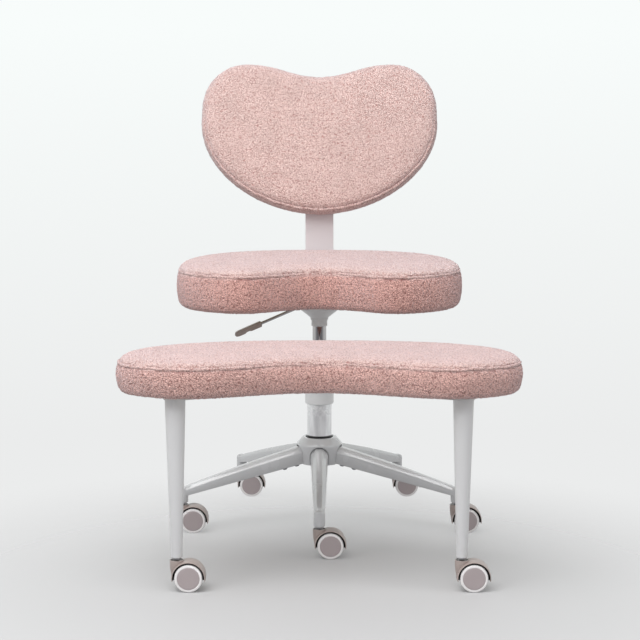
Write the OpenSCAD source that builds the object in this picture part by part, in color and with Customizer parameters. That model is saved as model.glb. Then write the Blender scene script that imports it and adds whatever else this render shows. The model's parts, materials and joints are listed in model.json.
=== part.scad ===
// Cross-legged office chair: a swivelling seat with a back on a gas lift, over a five-star base,
// and a wide foot platform that turns round the same column on two legs with casters.
// Millimetres, +Z up, origin on the floor under the column, front of the chair at -Y.

/* [Base] */
// Distance from the column to each base caster stem
base_reach = 287; // [250:1:330]
// Height of the hub's underside above the floor
hub_z = 124; // [115:1:150]
// Height of the hub
hub_h = 53; // [48:1:64]
// Diameter of the hub at its underside
hub_foot_d = 90; // [84:1:94]
// Diameter of the hub at its shoulder
hub_d = 93; // [90:1:104]
// Diameter of the hub's top rim
hub_top_d = 68; // [60:1:76]
// Height of the sloped part between the shoulder and the top rim
hub_shoulder_h = 13.5; // [10:0.5:18]
// Width of the dark gap round the column in the hub's top
hub_gap = 3; // [2:0.5:5]
// Depth of that gap
hub_gap_depth = 5; // [3:0.5:8]
// Width of an arm at the hub
arm_root_w = 37; // [33:0.5:39]
// Width of an arm at its tip
arm_tip_w = 21; // [18:0.5:22]
// Height of an arm's section at the hub
arm_root_h = 36; // [30:0.5:38]
// Height of an arm's section at its tip
arm_tip_h = 18; // [14:0.5:20]
// Height of an arm's underside at its tip above the floor
arm_tip_z = 73.5; // [70:0.5:80]
// Rise of an arm's top line above a straight line, at mid length
arm_crown = 2.5; // [0.5:0.5:5]
// How far an arm's end reaches into the hub
arm_inset = 5; // [3:0.5:7]
// Diameter of the round socket at an arm's tip
socket_d = 22; // [19:0.5:26]
// Height of that socket
socket_h = 31.5; // [28:0.5:36]

/* [Base bolts] */
// Width of the hub's tongue inside each arm
tongue_w = 16; // [14:0.5:20]
// Thickness of the tongue
tongue_t = 12; // [10:0.5:14]
// Thickness of the arm's floor under the tongue
arm_floor = 6; // [5:0.5:8]
// Distance from the column to the inner bolt of each arm
bolt_inner_r = 49; // [46:0.5:52]
// Distance between an arm's two bolts
bolt_pitch = 26; // [22:0.5:28]
// Diameter of a bolt's shank
bolt_d = 6; // [5:0.5:8]
// Diameter of a bolt's head
bolt_head_d = 11; // [9:0.5:12]
// Height of a bolt's head
bolt_head_h = 6; // [4:0.5:7]

/* [Casters] */
// Diameter of a wheel over its tyre
wheel_d = 50; // [46:1:54]
// Width of one wheel
wheel_w = 11; // [10:0.5:20]
// Thickness of the tyre
tyre_t = 5; // [4:0.5:6]
// Chamfer of the tyre's edges
tyre_chamfer = 1.5; // [0.5:0.25:2]
// Thickness of the web between the two wheels
web_w = 12; // [11:0.5:16]
// Gap between a wheel and the web
wheel_side_gap = 0.8; // [0.4:0.1:1.5]
// Gap between the tyre and the hood
well_gap = 3.3; // [1.5:0.1:3.5]
// Thickness of the hood over the wheels
hood_t = 2; // [2:0.1:4]
// How much the hood's radius falls towards its side rims
hood_taper = 0.8; // [0.5:0.1:1.6]
// How far the hood's ends reach below the axle
hood_skirt = 4.7; // [2:0.1:8]
// Distance by which the axle trails behind the stem
trail = 21; // [16:0.1:22]
// Diameter of the hood's stem boss
boss_d = 24.5; // [22:0.5:27]
// Height of the boss's top above the axle
boss_rise = 30.6; // [28:0.2:34]
// Diameter of the recess in the boss's top
boss_recess_d = 22; // [18.5:0.5:22]
// Depth of that recess
boss_recess_depth = 2; // [1.5:0.5:4]
// Height of the open neck between the boss and the socket
neck_h = 5; // [3.5:0.1:8]
// Diameter of the stem's grip in its socket
grip_d = 11; // [9:0.5:13]
// Length of the stem's grip
grip_l = 27; // [22:0.5:30]
// Diameter of the stem's journal in the hood
journal_d = 8; // [6:0.5:8.5]
// Diameter of the stem's flange
flange_d = 16; // [14:0.5:18]
// Thickness of the stem's flange
flange_t = 2.5; // [1.5:0.5:3]
// Diameter of the axle
axle_d = 6; // [5:0.5:8]
// Thickness of the wheel's outer face
wheel_face_t = 3; // [2:0.5:4]
// Thickness of the wheel's rim
wheel_rim_t = 3; // [2:0.5:5]

/* [Column] */
// Diameter of the outer tube
tube_d = 50; // [46:1:54]
// Wall of the outer tube
tube_wall = 2; // [1.5:0.25:3]
// Height of the outer tube's top above the floor
tube_top_z = 355; // [353:1:362]
// Thickness of the outer tube's bottom plate
tube_floor = 4; // [3:0.5:6]
// Length of the guide bush in the tube
bush_l = 90; // [60:1:100]
// Thickness of the bush's rim on top of the tube
bush_rim = 3; // [2:0.5:5]
// Diameter of the gas cylinder
cylinder_d = 28; // [26:0.5:30]
// Wall of the gas cylinder
cylinder_wall = 2; // [1.5:0.25:3]
// Travel of the gas lift
stroke = 100; // [60:1:110]
// Diameter of the piston rod
rod_d = 10; // [8:0.5:12]
// Height of the gas cylinder's lower end above the tube's bottom
cylinder_foot = 56; // [46:1:64]
// Diameter of the release pin on top of the cylinder
pin_d = 6; // [4:0.5:7]
// Length of the release pin
pin_l = 40; // [30:1:45]
// Diameter of the balls in the thrust bearing
ball_d = 3; // [2:0.25:3.5]
// Thickness of a thrust washer
washer_t = 1.5; // [1:0.25:2]

/* [Seat] */
// Height of the seat board's underside above the floor, at the lowest setting
seat_z = 450; // [446:1:500]
// Width of the seat at its seam
seat_w = 562; // [500:1:600]
// Reach of the seat behind its widest line
seat_rear = 266; // [240:1:280]
// Reach of the seat's two front lobes in front of its widest line
seat_front = 183; // [170:1:200]
// Distance of the widest line in front of the column
seat_shift = 33; // [20:1:40]
// Depth of the hollow in the front edge
seat_hollow = 96; // [60:1:100]
// Width of that hollow
seat_hollow_w = 340; // [300:1:380]
// Height of the seam above the seat's underside
seat_side_h = 71; // [60:1:85]
// Rise of the seat's top above its seam
seat_crown = 19; // [14:0.5:24]
// Thickness of the seat board
seat_board_t = 12; // [10:1:18]

/* [Platform] */
// Height of the platform board's underside above the floor
platform_z = 349; // [347:1:352]
// Width of the platform at its seam
platform_w = 714; // [660:1:740]
// Distance of the platform's widest line in front of the column
platform_shift = 463; // [450:1:480]
// Reach of the platform behind its widest line
platform_rear = 195; // [170:1:200]
// Reach of the platform's two front lobes in front of its widest line
platform_front = 128; // [118:1:140]
// Depth of the hollow in the front edge
platform_hollow = 90; // [50:1:94]
// Width of that hollow
platform_hollow_w = 558; // [500:1:600]
// Height of the seam above the platform's underside
platform_side_h = 52.5; // [45:0.5:65]
// Rise of the platform's top above its seam
platform_crown = 16; // [10:0.5:20]
// Thickness of the platform board
platform_board_t = 12; // [10:1:16]
// Thickness of the flat steel frame under the board
frame_t = 5; // [4:0.5:6]
// Width of the frame's beam from the column
beam_w = 60; // [50:1:64]
// Distance of the beam's fork behind the platform's widest line
fork_back = 78; // [60:1:90]
// Distance of each leg from the platform's side
leg_inset = 105; // [90:0.5:130]
// Distance of the legs ahead of the platform's widest line
leg_ahead = 47; // [30:1:60]
// Diameter of a leg at its top
leg_top_d = 36.5; // [30:0.5:38]
// Diameter of a leg at its foot
leg_foot_d = 20; // [18:0.5:24]
// Wall of a leg
leg_wall = 2; // [1.5:0.25:2.5]
// Diameter of the collar on the column
collar_d = 58; // [56:0.5:62]
// Height of the collar's lower end above the floor
collar_z = 245; // [235:1:265]
// Depth of the frame's ring round the collar
ring_h = 70; // [50:1:75]
// Wall of the frame's ring
ring_wall = 4; // [3:0.5:5]
// Thickness of the rib under the beam
rib_t = 8; // [6:0.5:12]
// Share of the beam that the rib runs along
rib_share = 0.7; // [0.5:0.05:0.75]

/* [Back] */
// Recline of the backrest in degrees
recline = 15; // [8:0.5:20]
// Width of the backrest at its seam
back_w = 498; // [440:1:540]
// Height of the backrest below its widest line
back_low = 190; // [180:1:220]
// Height of the two top lobes above the widest line
back_high = 136; // [120:1:150]
// Depth of the hollow in the top edge
back_hollow = 36; // [20:1:50]
// Width of that hollow
back_hollow_w = 330; // [280:1:360]
// Height of the seam over the backrest's rear
back_side_h = 46; // [40:1:60]
// Bulge of the backrest's front beyond its seam
back_crown = 16; // [8:0.5:20]
// Thickness of the rear panel
back_board_t = 8; // [8:0.5:12]
// Height of the bar's upper bend above the seat board's underside
bend_rise = 161; // [140:1:180]
// How far the backrest hangs below that bend
back_drop = 1; // [0:1:16]
// Width of the flat bar
bar_w = 60; // [50:1:70]
// Thickness of the flat bar
bar_t = 8; // [6:0.5:9]
// Inner radius of the bar's lower bend
bar_bend_r = 26; // [26:1:34]
// Length of the bar above its upper bend
bar_top_l = 190; // [170:1:220]
// Distance of the bar's front end behind the column
bar_start = 80; // [78:1:90]
// Gap between the seat and the bar
bar_gap = 9.5; // [6:0.5:14]

/* [Mechanism] */
// Height of the mechanism from its lower end to the seat board
mech_h = 46; // [44:0.5:50]
// Diameter of the mechanism's neck round the cylinder
mech_neck_d = 32; // [31.5:0.5:34]
// Diameter of the neck's lip
mech_lip_d = 36; // [34:0.5:38]
// Diameter of the mechanism's housing
mech_body_d = 80; // [76:1:90]
// Diameter of the mechanism's top flange
mech_flange_d = 150; // [144:1:154]
// Thickness of the top flange
mech_flange_t = 5; // [4:0.5:6]
// Depth of the hollow for the lever
mech_hollow_h = 13; // [12:0.5:14]
// Diameter of that hollow
mech_hollow_d = 60; // [58:0.5:62]
// Distance of the lever's hinge from the column
hinge_x = 24; // [22:0.5:25]
// Diameter of the lever's hinge pin
hinge_d = 5; // [4:0.5:5]
// Diameter of the lever rod
lever_d = 6; // [5:0.5:6]
// Distance of the lever's bend from the column
lever_bend_x = 40; // [38:0.5:42]
// Distance of the paddle's inner end from the column
paddle_x = 117.7; // [105:0.1:130]
// Slope of the lever outside the mechanism in degrees
lever_slope = 23.5; // [20:0.5:28]
// Length of the paddle
paddle_l = 58; // [50:1:66]
// Width of the paddle
paddle_w = 20; // [14:0.5:26]
// Height of the paddle
paddle_h = 11; // [10:0.5:14]

/* [Screws] */
// Diameter of the screws in the seat, back and platform
screw_d = 6; // [5:0.5:6.5]
// Diameter of their heads
screw_head_d = 12; // [10:0.5:13]
// Height of their heads
screw_head_h = 3.5; // [2.5:0.5:4]
// How deep they reach into a board
screw_bite = 7; // [5:0.5:7.5]

/* [Hidden] */
$fn = 48;

// Clearance of a turning or sliding fit, on the radius
running_gap = 0.06;
// Clearance between two pieces that are fastened together
seat_gap = 0.1;
// Clearance between an arm and its pocket in the hub
pocket_gap = 0.3;
// Overrun of a cut past the face it leaves
over = 1;
// Thickness of the slices that hulls are stretched between
slice = 0.5;

// Colours as seen
shell_grey = [0.82, 0.81, 0.81];
hood_grey = [0.74, 0.70, 0.69];
disc_grey = [0.62, 0.57, 0.57];
tyre_white = [0.90, 0.89, 0.88];
fabric_pink = [0.86, 0.68, 0.66];
steel_grey = [0.62, 0.62, 0.63];
dark_steel = [0.25, 0.24, 0.24];
plywood = [0.80, 0.68, 0.50];

// The base's arms point to these bearings, the first to the front
arm_count = 5;
arm_step = 360 / arm_count;
arm_bearing = function (i) -90 - (i - 1) * arm_step;

// Places of the platform's beam and legs
fork_y = platform_shift - fork_back;
leg_x = platform_w / 2 - leg_inset;
leg_y = platform_shift + leg_ahead;
rib_l = fork_y * rib_share;

// Caster heights and stem places
axle_z = wheel_d / 2;
boss_top_z = axle_z + boss_rise;
socket_z = boss_top_z + neck_h;
web_r = axle_d * 1.8;
well_r = wheel_d / 2 + well_gap;
hood_r = well_r + hood_t;
wheel_in = web_w / 2 + wheel_side_gap;
caster_w = 2 * (wheel_in + wheel_w);
axle_l = 2 * (wheel_in + wheel_w - wheel_face_t - running_gap);
journal_foot_z = axle_z + axle_d / 2 + journal_d * 0.75;
base_stem = function (i) [base_reach * cos(arm_bearing(i)), base_reach * sin(arm_bearing(i))];
leg_stem = function (i) [(i == 1 ? -1 : 1) * leg_x, -leg_y];

// The hub's pockets, the slope of the arms' underside, and the corners of an arm's bevelled top as
// shares of half its width, out from its middle and down from its top
pocket_r = hub_foot_d / 2 - arm_inset;
shoulder_z = hub_z + hub_h - hub_shoulder_h;
arm_root_r = hub_d / 2;
arm_slope = atan((hub_z - arm_tip_z) / (base_reach - arm_root_r));
arm_corner_shares = [[1, 1], [0.94, 0.66], [0.42, 0.1]];

// Column heights
tube_inner_d = tube_d - 2 * tube_wall;
bearing_z = hub_z + tube_floor;
shoulder_bottom_z = bearing_z + 2 * washer_t + ball_d + seat_gap;
rod_shoulder_t = rod_d * 0.4;
rod_shoulder_d = rod_d * 1.8;
clip_t = rod_d * 0.12;
clip_d = rod_d * 1.6;
cylinder_z = hub_z + cylinder_foot;
cylinder_end_t = 2 * cylinder_wall;
piston_t = rod_d;
rod_top_z = cylinder_z + cylinder_end_t + stroke + 2 * piston_t;
cylinder_room_z = rod_top_z + piston_t;
ball_count = 8;

// Mechanism heights, with the lever in the hollow under the flange
mech_z = seat_z - mech_h;
hollow_top_z = seat_z - mech_flange_t * 0.6;
hollow_z = hollow_top_z - mech_hollow_h;
lever_z = hollow_top_z - lever_d * 0.75;
pin_top_z = lever_z - lever_d / 2 - 3 * seat_gap;
cylinder_top_z = hollow_z - 3 * seat_gap;
cylinder_taper = cylinder_d * 0.03;
taper_h = cylinder_d * 0.9;
pin_travel = pin_d;
hinge_l = mech_hollow_d * 0.36;
flange_screw_r = (mech_body_d + mech_flange_d) / 4 + mech_flange_t;

// Cushion outlines: half width, centre, reach on the full side and on the hollow side with
// their roundness, then the hollow's depth and half width
seat_outline = [seat_w / 2, -seat_shift, seat_rear, 2.55, seat_front, 2.5,
    seat_hollow, seat_hollow_w / 2];
platform_outline = [platform_w / 2, -platform_shift, platform_rear, 2.4, platform_front, 2.4,
    platform_hollow, platform_hollow_w / 2];
back_outline = [back_w / 2, 0, back_low, 1.9, back_high, 3.3, back_hollow, back_hollow_w / 2];
outline_steps = 48;

// Cushion edges: the rim of cloth round the board, the corner, the sides and the seam
cushion_rim = 25;
cushion_lift = 1;
cushion_corner = 15;
back_corner = 10;
side_bulge = 3;
seam_depth = 3;
seam_h = 3;
crown_run = 75;
board_gap = 0.5;

// The back bar's places
bar_y = seat_rear - seat_shift + bar_gap;
bend_z = seat_z + bend_rise;
upper_bend_r = 60;
bar_corner_r = 12;
low_bend_steps = 12;
high_bend_steps = 3;
bar_screw_x = bar_w / 4;
bar_screw_ys = [bar_start + bar_w * 0.4, bar_start + bar_w * 1.4];
back_screw_hs = [bar_top_l * 0.4, bar_top_l * 0.72];

// The platform's frame
frame_z = platform_z - frame_t;
ring_z = platform_z - ring_h;
ring_d = collar_d + 2 * seat_gap;
fork_r = beam_w * 0.42;
leg_plate_r = leg_top_d / 2 + frame_t / 2;
collar_rim_t = 3;
beam_screw_share = 0.84;
frame_screw_shares = [0.36, 0.72];
arm_share = function (s) [s * leg_x, -fork_y - s * (leg_y - fork_y)];
frame_screw_places = [[0, -fork_y * beam_screw_share], [0, -fork_y],
    each [for (side = [-1, 1]) for (s = frame_screw_shares) [side * arm_share(s)[0], arm_share(s)[1]]]];

// A point of a cushion's outline, drawn in by d, as far across as a circle's point at angle a
function outline_point(o, a, d) =
    let (full = sin(a) >= 0)
    let (e = full ? o[3] : o[5])
    let (x = (o[0] - d) * cos(a))
    let (y = o[1] + (full ? o[2] - d : d - o[4]) * pow(1 - pow(abs(cos(a)), e), 1 / e))
    let (dent = !full && abs(x) < o[7] ? o[6] * (1 + cos(180 * x / o[7])) / 2 : 0)
    [x, y + dent];

function outline_points(o, d) =
    [for (i = [0 : outline_steps - 1]) outline_point(o, 360 * i / outline_steps, d)];

// The edge of a cushion, from the pocket for its board over the corner, the side and the seam to
// its crown, as pairs of draw-in and height over the underside
function cushion_edge(board_t, corner, side_h, crown, run) = concat(
    [[cushion_rim, board_t], [cushion_rim, 0]],
    [for (k = [0 : 3]) [corner * (1 - sin(30 * k)), corner * (1 - cos(30 * k))]],
    [for (k = [1 : 4]) [-side_bulge * sin(36 * k), corner + (side_h - seam_h - corner) * k / 5]],
    [[-side_bulge * 0.2, side_h - seam_h], [seam_depth, side_h], [0, side_h + seam_h * 0.7]],
    [for (k = [1 : 6]) let (u = 1 - cos(15 * k)) let (rise = sin(15 * k))
        [run * u, side_h + seam_h * 0.7 + (crown - seam_h * 0.7) * pow(rise, 0.8)]]
);

// Rings of the outline stacked along the edge and closed with strips of triangles
module cushion(o, edge) {
    n = outline_steps;
    m = len(edge);
    points = [for (e = edge) for (p = outline_points(o, e[0])) [p[0], p[1], e[1]]];
    sides = [for (k = [0 : m - 2]) for (i = [0 : n - 1]) let (j = (i + 1) % n)
        each [[k * n + i, (k + 1) * n + i, k * n + j], [k * n + j, (k + 1) * n + i, (k + 1) * n + j]]];
    ends = [[0, 1, n - 1], [n / 2 - 1, n / 2, n / 2 + 1]];
    low = concat(ends, [for (i = [1 : n / 2 - 2]) let (a = n - i) let (b = n - i - 1)
        each [[i, i + 1, a], [i + 1, b, a]]]);
    top = (m - 1) * n;
    high = [for (f = low) [top + f[2], top + f[1], top + f[0]]];
    polyhedron(points, concat(sides, low, high), convexity = 4);
}

// A flat board with the outline drawn in by d
module board(o, d, t) {
    linear_extrude(height = t) polygon(outline_points(o, d));
}

// A screw along +Z from the face under its head
module screw(reach) {
    translate([0, 0, -screw_head_h]) cylinder(d = screw_head_d, h = screw_head_h);
    cylinder(d = screw_d, h = reach);
}

// The hole that takes its shank
module screw_hole(reach) {
    translate([0, 0, -over]) cylinder(d = screw_d + 2 * seat_gap, h = over + reach + seat_gap);
}

// Five-star base

// Flat arch: straight sides under a round top
module arch(w, low, high) {
    translate([0, high - w / 2]) circle(d = w);
    translate([-w / 2, low]) square([w, high - low - w / 2]);
}

// Section of an arm: straight sides under a bevelled top
module arm_profile(w, low, high) {
    right = [for (s = arm_corner_shares) [s[0] * w / 2, high - s[1] * w / 2]];
    left = [for (k = [len(right) - 1 : -1 : 0]) [-right[k][0], right[k][1]]];
    polygon(concat([[-w / 2, low], [w / 2, low]], right, left));
}

// Thin slice of an arm at radius r
module arm_section(r, w, low, high) {
    translate([r, 0, 0]) rotate([90, 0, 90]) linear_extrude(height = slice) arm_profile(w, low, high);
}

// Round-topped pocket in the hub that takes an arm's end
module arm_pocket() {
    top = hub_z + arm_root_h + pocket_gap + (arm_root_r - pocket_r) * tan(arm_slope);
    rotate([90, 0, 90]) translate([0, 0, pocket_r - pocket_gap]) linear_extrude(height = hub_d)
        arch(arm_root_w + 2 * pocket_gap, hub_z - over, top);
}

// Frame that lies along the underside of an arm, starting at the shoulder's radius
module along_arm() {
    translate([arm_root_r, 0, hub_z]) rotate([0, arm_slope, 0]) children();
}

// Tongue of the hub inside an arm, with its clearance when it is used as a cut
module tongue(gap) {
    start = pocket_r - arm_root_r - 4 * over;
    reach = bolt_inner_r + bolt_pitch + bolt_head_d - arm_root_r;
    along_arm() translate([start, -tongue_w / 2 - gap, arm_floor - gap])
        cube([reach - start + gap, tongue_w + 2 * gap, tongue_t + 2 * gap]);
}

// The places of an arm's two bolts, from below
module at_arm_bolts() {
    for (k = [0, 1]) along_arm()
        translate([bolt_inner_r - arm_root_r + k * bolt_pitch, 0, 0]) children();
}

module base_hub() color(shell_grey) {
    difference() {
        rotate_extrude() polygon([
            [tube_d / 2 + seat_gap, hub_z], [hub_foot_d / 2, hub_z],
            [hub_d / 2, shoulder_z], [hub_top_d / 2, hub_z + hub_h],
            [tube_d / 2 + hub_gap, hub_z + hub_h], [tube_d / 2 + hub_gap, hub_z + hub_h - hub_gap_depth],
            [tube_d / 2 + seat_gap, hub_z + hub_h - hub_gap_depth]
        ]);
        for (i = [1 : arm_count]) rotate([0, 0, arm_bearing(i)]) arm_pocket();
    }
    for (i = [1 : arm_count]) rotate([0, 0, arm_bearing(i)]) difference() {
        tongue(0);
        cylinder(d = tube_d + 2 * seat_gap, h = hub_z + hub_h);
        at_arm_bolts() cylinder(d = bolt_d + 2 * seat_gap, h = hub_h);
    }
}

module base_arm(i) color(shell_grey) rotate([0, 0, arm_bearing(i)]) {
    fall = tan(arm_slope);
    root_low = hub_z + (arm_root_r - pocket_r) * fall;
    mid_r = (arm_root_r + base_reach) / 2;
    mid_low = hub_z - (mid_r - arm_root_r) * fall;
    mid_w = (arm_root_w + arm_tip_w) / 2;
    mid_h = (arm_root_h + arm_tip_h) / 2 + arm_crown;
    bore_d = grip_d + 2 * seat_gap;
    difference() {
        union() {
            hull() {
                arm_section(pocket_r, arm_root_w, root_low, root_low + arm_root_h);
                arm_section(mid_r, mid_w, mid_low, mid_low + mid_h);
            }
            hull() {
                arm_section(mid_r, mid_w, mid_low, mid_low + mid_h);
                arm_section(base_reach, arm_tip_w, arm_tip_z, arm_tip_z + arm_tip_h);
            }
            translate([base_reach, 0, 0]) rotate_extrude() polygon([
                [0, socket_z], [socket_d * 0.42, socket_z], [socket_d / 2, socket_z + socket_d * 0.1],
                [socket_d / 2, socket_z + socket_h - socket_d * 0.3],
                [socket_d * 0.4, socket_z + socket_h - socket_d * 0.1], [0, socket_z + socket_h]
            ]);
        }
        tongue(seat_gap);
        at_arm_bolts() translate([0, 0, -over]) cylinder(d = bolt_d + 2 * seat_gap, h = arm_floor + 2 * over);
        translate([base_reach, 0, socket_z - over]) cylinder(d = bore_d, h = grip_l + over + seat_gap);
    }
}

module base_arm_bolts() color(dark_steel) {
    for (i = [1 : arm_count]) rotate([0, 0, arm_bearing(i)]) at_arm_bolts() {
        translate([0, 0, -bolt_head_h]) cylinder(d = bolt_head_d, h = bolt_head_h);
        cylinder(d = bolt_d, h = arm_floor + tongue_t);
    }
}

// Casters, built round a stem at the origin and trailing along +X

module at_stem(place) {
    translate([place[0], place[1], 0]) children();
}

// Turns a shape of revolution onto the axle, its +Z along -Y
module on_axle() {
    translate([trail, 0, axle_z]) rotate([90, 0, 0]) children();
}

module stem() {
    translate([0, 0, socket_z]) cylinder(d = grip_d, h = grip_l);
    translate([0, 0, socket_z - flange_t]) cylinder(d = flange_d, h = flange_t);
    translate([0, 0, journal_foot_z]) cylinder(d = journal_d, h = socket_z - journal_foot_z);
}

module caster_hood(place) color(hood_grey) at_stem(place) difference() {
    union() {
        intersection() {
            on_axle() rotate_extrude() polygon([
                [0, -caster_w / 2], [hood_r - hood_taper, -caster_w / 2], [hood_r, -caster_w / 4],
                [hood_r, caster_w / 4], [hood_r - hood_taper, caster_w / 2], [0, caster_w / 2]
            ]);
            translate([trail - wheel_d, -caster_w, axle_z - hood_skirt])
                cube([2 * wheel_d, 2 * caster_w, wheel_d]);
        }
        on_axle() cylinder(r = web_r, h = web_w, center = true);
        translate([0, 0, boss_top_z - boss_d * 0.7]) cylinder(d = boss_d, h = boss_d * 0.7);
        translate([0, 0, axle_z]) cylinder(d1 = web_w, d2 = boss_d, h = boss_rise - boss_d * 0.7);
    }
    for (side = [-1, 1]) on_axle() translate([0, 0, side * (web_w + wheel_d) / 2])
        cylinder(r = well_r, h = wheel_d, center = true);
    on_axle() cylinder(d = axle_d + 2 * seat_gap, h = wheel_d, center = true);
    translate([0, 0, boss_top_z - boss_recess_depth]) cylinder(d = boss_recess_d, h = neck_h);
    translate([0, 0, journal_foot_z - 3 * seat_gap]) cylinder(d = journal_d + 2 * running_gap, h = wheel_d);
}

module caster_axle(place) color(steel_grey) at_stem(place) {
    on_axle() cylinder(d = axle_d, h = axle_l, center = true);
}

// One wheel's body: a hub, an outer face and a rim, with the axle's blind bore
module caster_wheels(place) color(disc_grey) at_stem(place) on_axle() {
    rim_r = wheel_d / 2 - tyre_t;
    bore_r = axle_d / 2 + running_gap;
    for (side = [0, 1]) mirror([0, 0, side]) translate([0, 0, wheel_in]) rotate_extrude() polygon([
        [bore_r, 0], [axle_d, 0], [axle_d, wheel_w - wheel_face_t],
        [rim_r - wheel_rim_t, wheel_w - wheel_face_t], [rim_r - wheel_rim_t, 0], [rim_r, 0],
        [rim_r, wheel_w - wheel_side_gap], [rim_r - wheel_side_gap, wheel_w], [0, wheel_w],
        [0, wheel_w - wheel_face_t], [bore_r, wheel_w - wheel_face_t]
    ]);
}

module caster_tyres(place) color(tyre_white) at_stem(place) on_axle() {
    inner_r = wheel_d / 2 - tyre_t + seat_gap / 2;
    for (side = [0, 1]) mirror([0, 0, side]) translate([0, 0, wheel_in]) rotate_extrude() polygon([
        [inner_r, 0], [wheel_d / 2 - tyre_chamfer, 0], [wheel_d / 2, tyre_chamfer],
        [wheel_d / 2, wheel_w - tyre_chamfer], [wheel_d / 2 - tyre_chamfer, wheel_w], [inner_r, wheel_w]
    ]);
}

module base_caster_stems() color(dark_steel) {
    for (i = [1 : arm_count]) at_stem(base_stem(i)) stem();
}

module leg_caster_stems() color(dark_steel) {
    for (i = [1, 2]) at_stem(leg_stem(i)) stem();
}

// Column

module column_tube() color(steel_grey) rotate_extrude() polygon([
    [rod_d / 2 + running_gap, hub_z], [tube_d / 2, hub_z], [tube_d / 2, tube_top_z],
    [tube_inner_d / 2, tube_top_z], [tube_inner_d / 2, bearing_z], [rod_d / 2 + running_gap, bearing_z]
]);

module column_guide_bush() color(dark_steel) rotate_extrude() polygon([
    [cylinder_d / 2 + running_gap, tube_top_z - bush_l], [tube_inner_d / 2 - seat_gap, tube_top_z - bush_l],
    [tube_inner_d / 2 - seat_gap, tube_top_z], [tube_d / 2, tube_top_z],
    [tube_d / 2, tube_top_z + bush_rim * 0.6], [tube_d / 2 - bush_rim * 0.4, tube_top_z + bush_rim],
    [cylinder_d / 2 + running_gap, tube_top_z + bush_rim]
]);

// Two thrust washers with a ring of balls between them
module thrust_bearing() color(steel_grey) {
    inner_r = rod_d / 2 + 3 * seat_gap;
    outer_r = inner_r + 2 * ball_d;
    for (z = [0, washer_t + ball_d]) translate([0, 0, bearing_z + z]) difference() {
        cylinder(r = outer_r, h = washer_t);
        translate([0, 0, -over]) cylinder(r = inner_r, h = washer_t + 2 * over);
    }
    for (k = [1 : ball_count]) rotate([0, 0, 360 * k / ball_count])
        translate([(inner_r + outer_r) / 2, 0, bearing_z + washer_t + ball_d / 2])
            sphere(d = ball_d - seat_gap);
}

module piston_rod() color(steel_grey) {
    foot_z = hub_z - 2 * clip_t;
    translate([0, 0, foot_z]) cylinder(d = rod_d, h = rod_top_z - foot_z);
    translate([0, 0, shoulder_bottom_z]) cylinder(d = rod_shoulder_d, h = rod_shoulder_t);
    translate([0, 0, rod_top_z - piston_t])
        cylinder(d = cylinder_d - 2 * cylinder_wall - 2 * seat_gap, h = piston_t);
}

// Clip that holds the rod's foot under the tube's bottom plate
module rod_clip() color(dark_steel) translate([0, 0, hub_z - clip_t - seat_gap]) difference() {
    cylinder(d = clip_d, h = clip_t);
    translate([0, 0, -over]) cylinder(d = rod_d + seat_gap, h = clip_t + 2 * over);
}

module gas_cylinder() color([0.75, 0.75, 0.76]) difference() {
    rotate_extrude() polygon([
        [0, cylinder_z], [cylinder_d / 2, cylinder_z], [cylinder_d / 2, cylinder_top_z - taper_h],
        [cylinder_d / 2 - cylinder_taper, cylinder_top_z], [0, cylinder_top_z]
    ]);
    translate([0, 0, cylinder_z - over]) cylinder(d = rod_d + 2 * running_gap, h = cylinder_end_t + 2 * over);
    translate([0, 0, cylinder_z + cylinder_end_t])
        cylinder(d = cylinder_d - 2 * cylinder_wall, h = cylinder_room_z - cylinder_z - cylinder_end_t);
    translate([0, 0, pin_top_z - pin_l - pin_travel])
        cylinder(d = pin_d + 2 * running_gap, h = pin_l + 2 * pin_travel);
}

module release_pin() color(steel_grey) {
    translate([0, 0, pin_top_z - pin_l]) cylinder(d = pin_d, h = pin_l);
}

// Foot platform

module platform_collar() color(shell_grey) rotate_extrude() polygon([
    [tube_d / 2 + running_gap, collar_z], [collar_d / 2 - collar_rim_t * 0.9, collar_z],
    [collar_d / 2 - collar_rim_t * 0.3, collar_z + collar_rim_t * 0.6],
    [collar_d / 2, collar_z + collar_rim_t * 1.8], [collar_d / 2, platform_z],
    [collar_d / 2 + ring_wall, platform_z], [collar_d / 2 + ring_wall, platform_z + collar_rim_t],
    [tube_d / 2 + running_gap, platform_z + collar_rim_t]
]);

module platform_frame() color(shell_grey) difference() {
    union() {
        translate([0, 0, ring_z]) cylinder(d = ring_d + 2 * ring_wall, h = ring_h);
        translate([-beam_w / 2, -fork_y, frame_z]) cube([beam_w, fork_y, frame_t]);
        for (side = [-1, 1]) hull() {
            translate([0, -fork_y, frame_z]) cylinder(r = fork_r, h = frame_t);
            translate([side * leg_x, -leg_y, frame_z]) cylinder(r = leg_plate_r, h = frame_t);
        }
        translate([rib_t / 2, 0, 0]) rotate([90, 0, -90]) linear_extrude(height = rib_t) polygon([
            [0, ring_z + ring_wall], [ring_d / 2 + ring_wall, ring_z + ring_wall],
            [rib_l, frame_z - 2 * frame_t], [rib_l, frame_z + frame_t / 2], [0, frame_z + frame_t / 2]
        ]);
    }
    translate([0, 0, ring_z - over]) cylinder(d = ring_d, h = ring_h + 2 * over);
    for (p = frame_screw_places) translate([p[0], p[1], frame_z]) screw_hole(screw_bite);
}

module platform_board() color(plywood) difference() {
    translate([0, 0, platform_z]) board(platform_outline, cushion_rim + board_gap, platform_board_t);
    for (p = frame_screw_places) translate([p[0], p[1], frame_z]) screw_hole(frame_t + screw_bite);
}

module platform_cushion() color(fabric_pink) translate([0, 0, platform_z + cushion_lift]) {
    pocket = platform_board_t - cushion_lift + board_gap;
    edge = cushion_edge(pocket, cushion_corner, platform_side_h, platform_crown, crown_run);
    cushion(platform_outline, edge);
}

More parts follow.
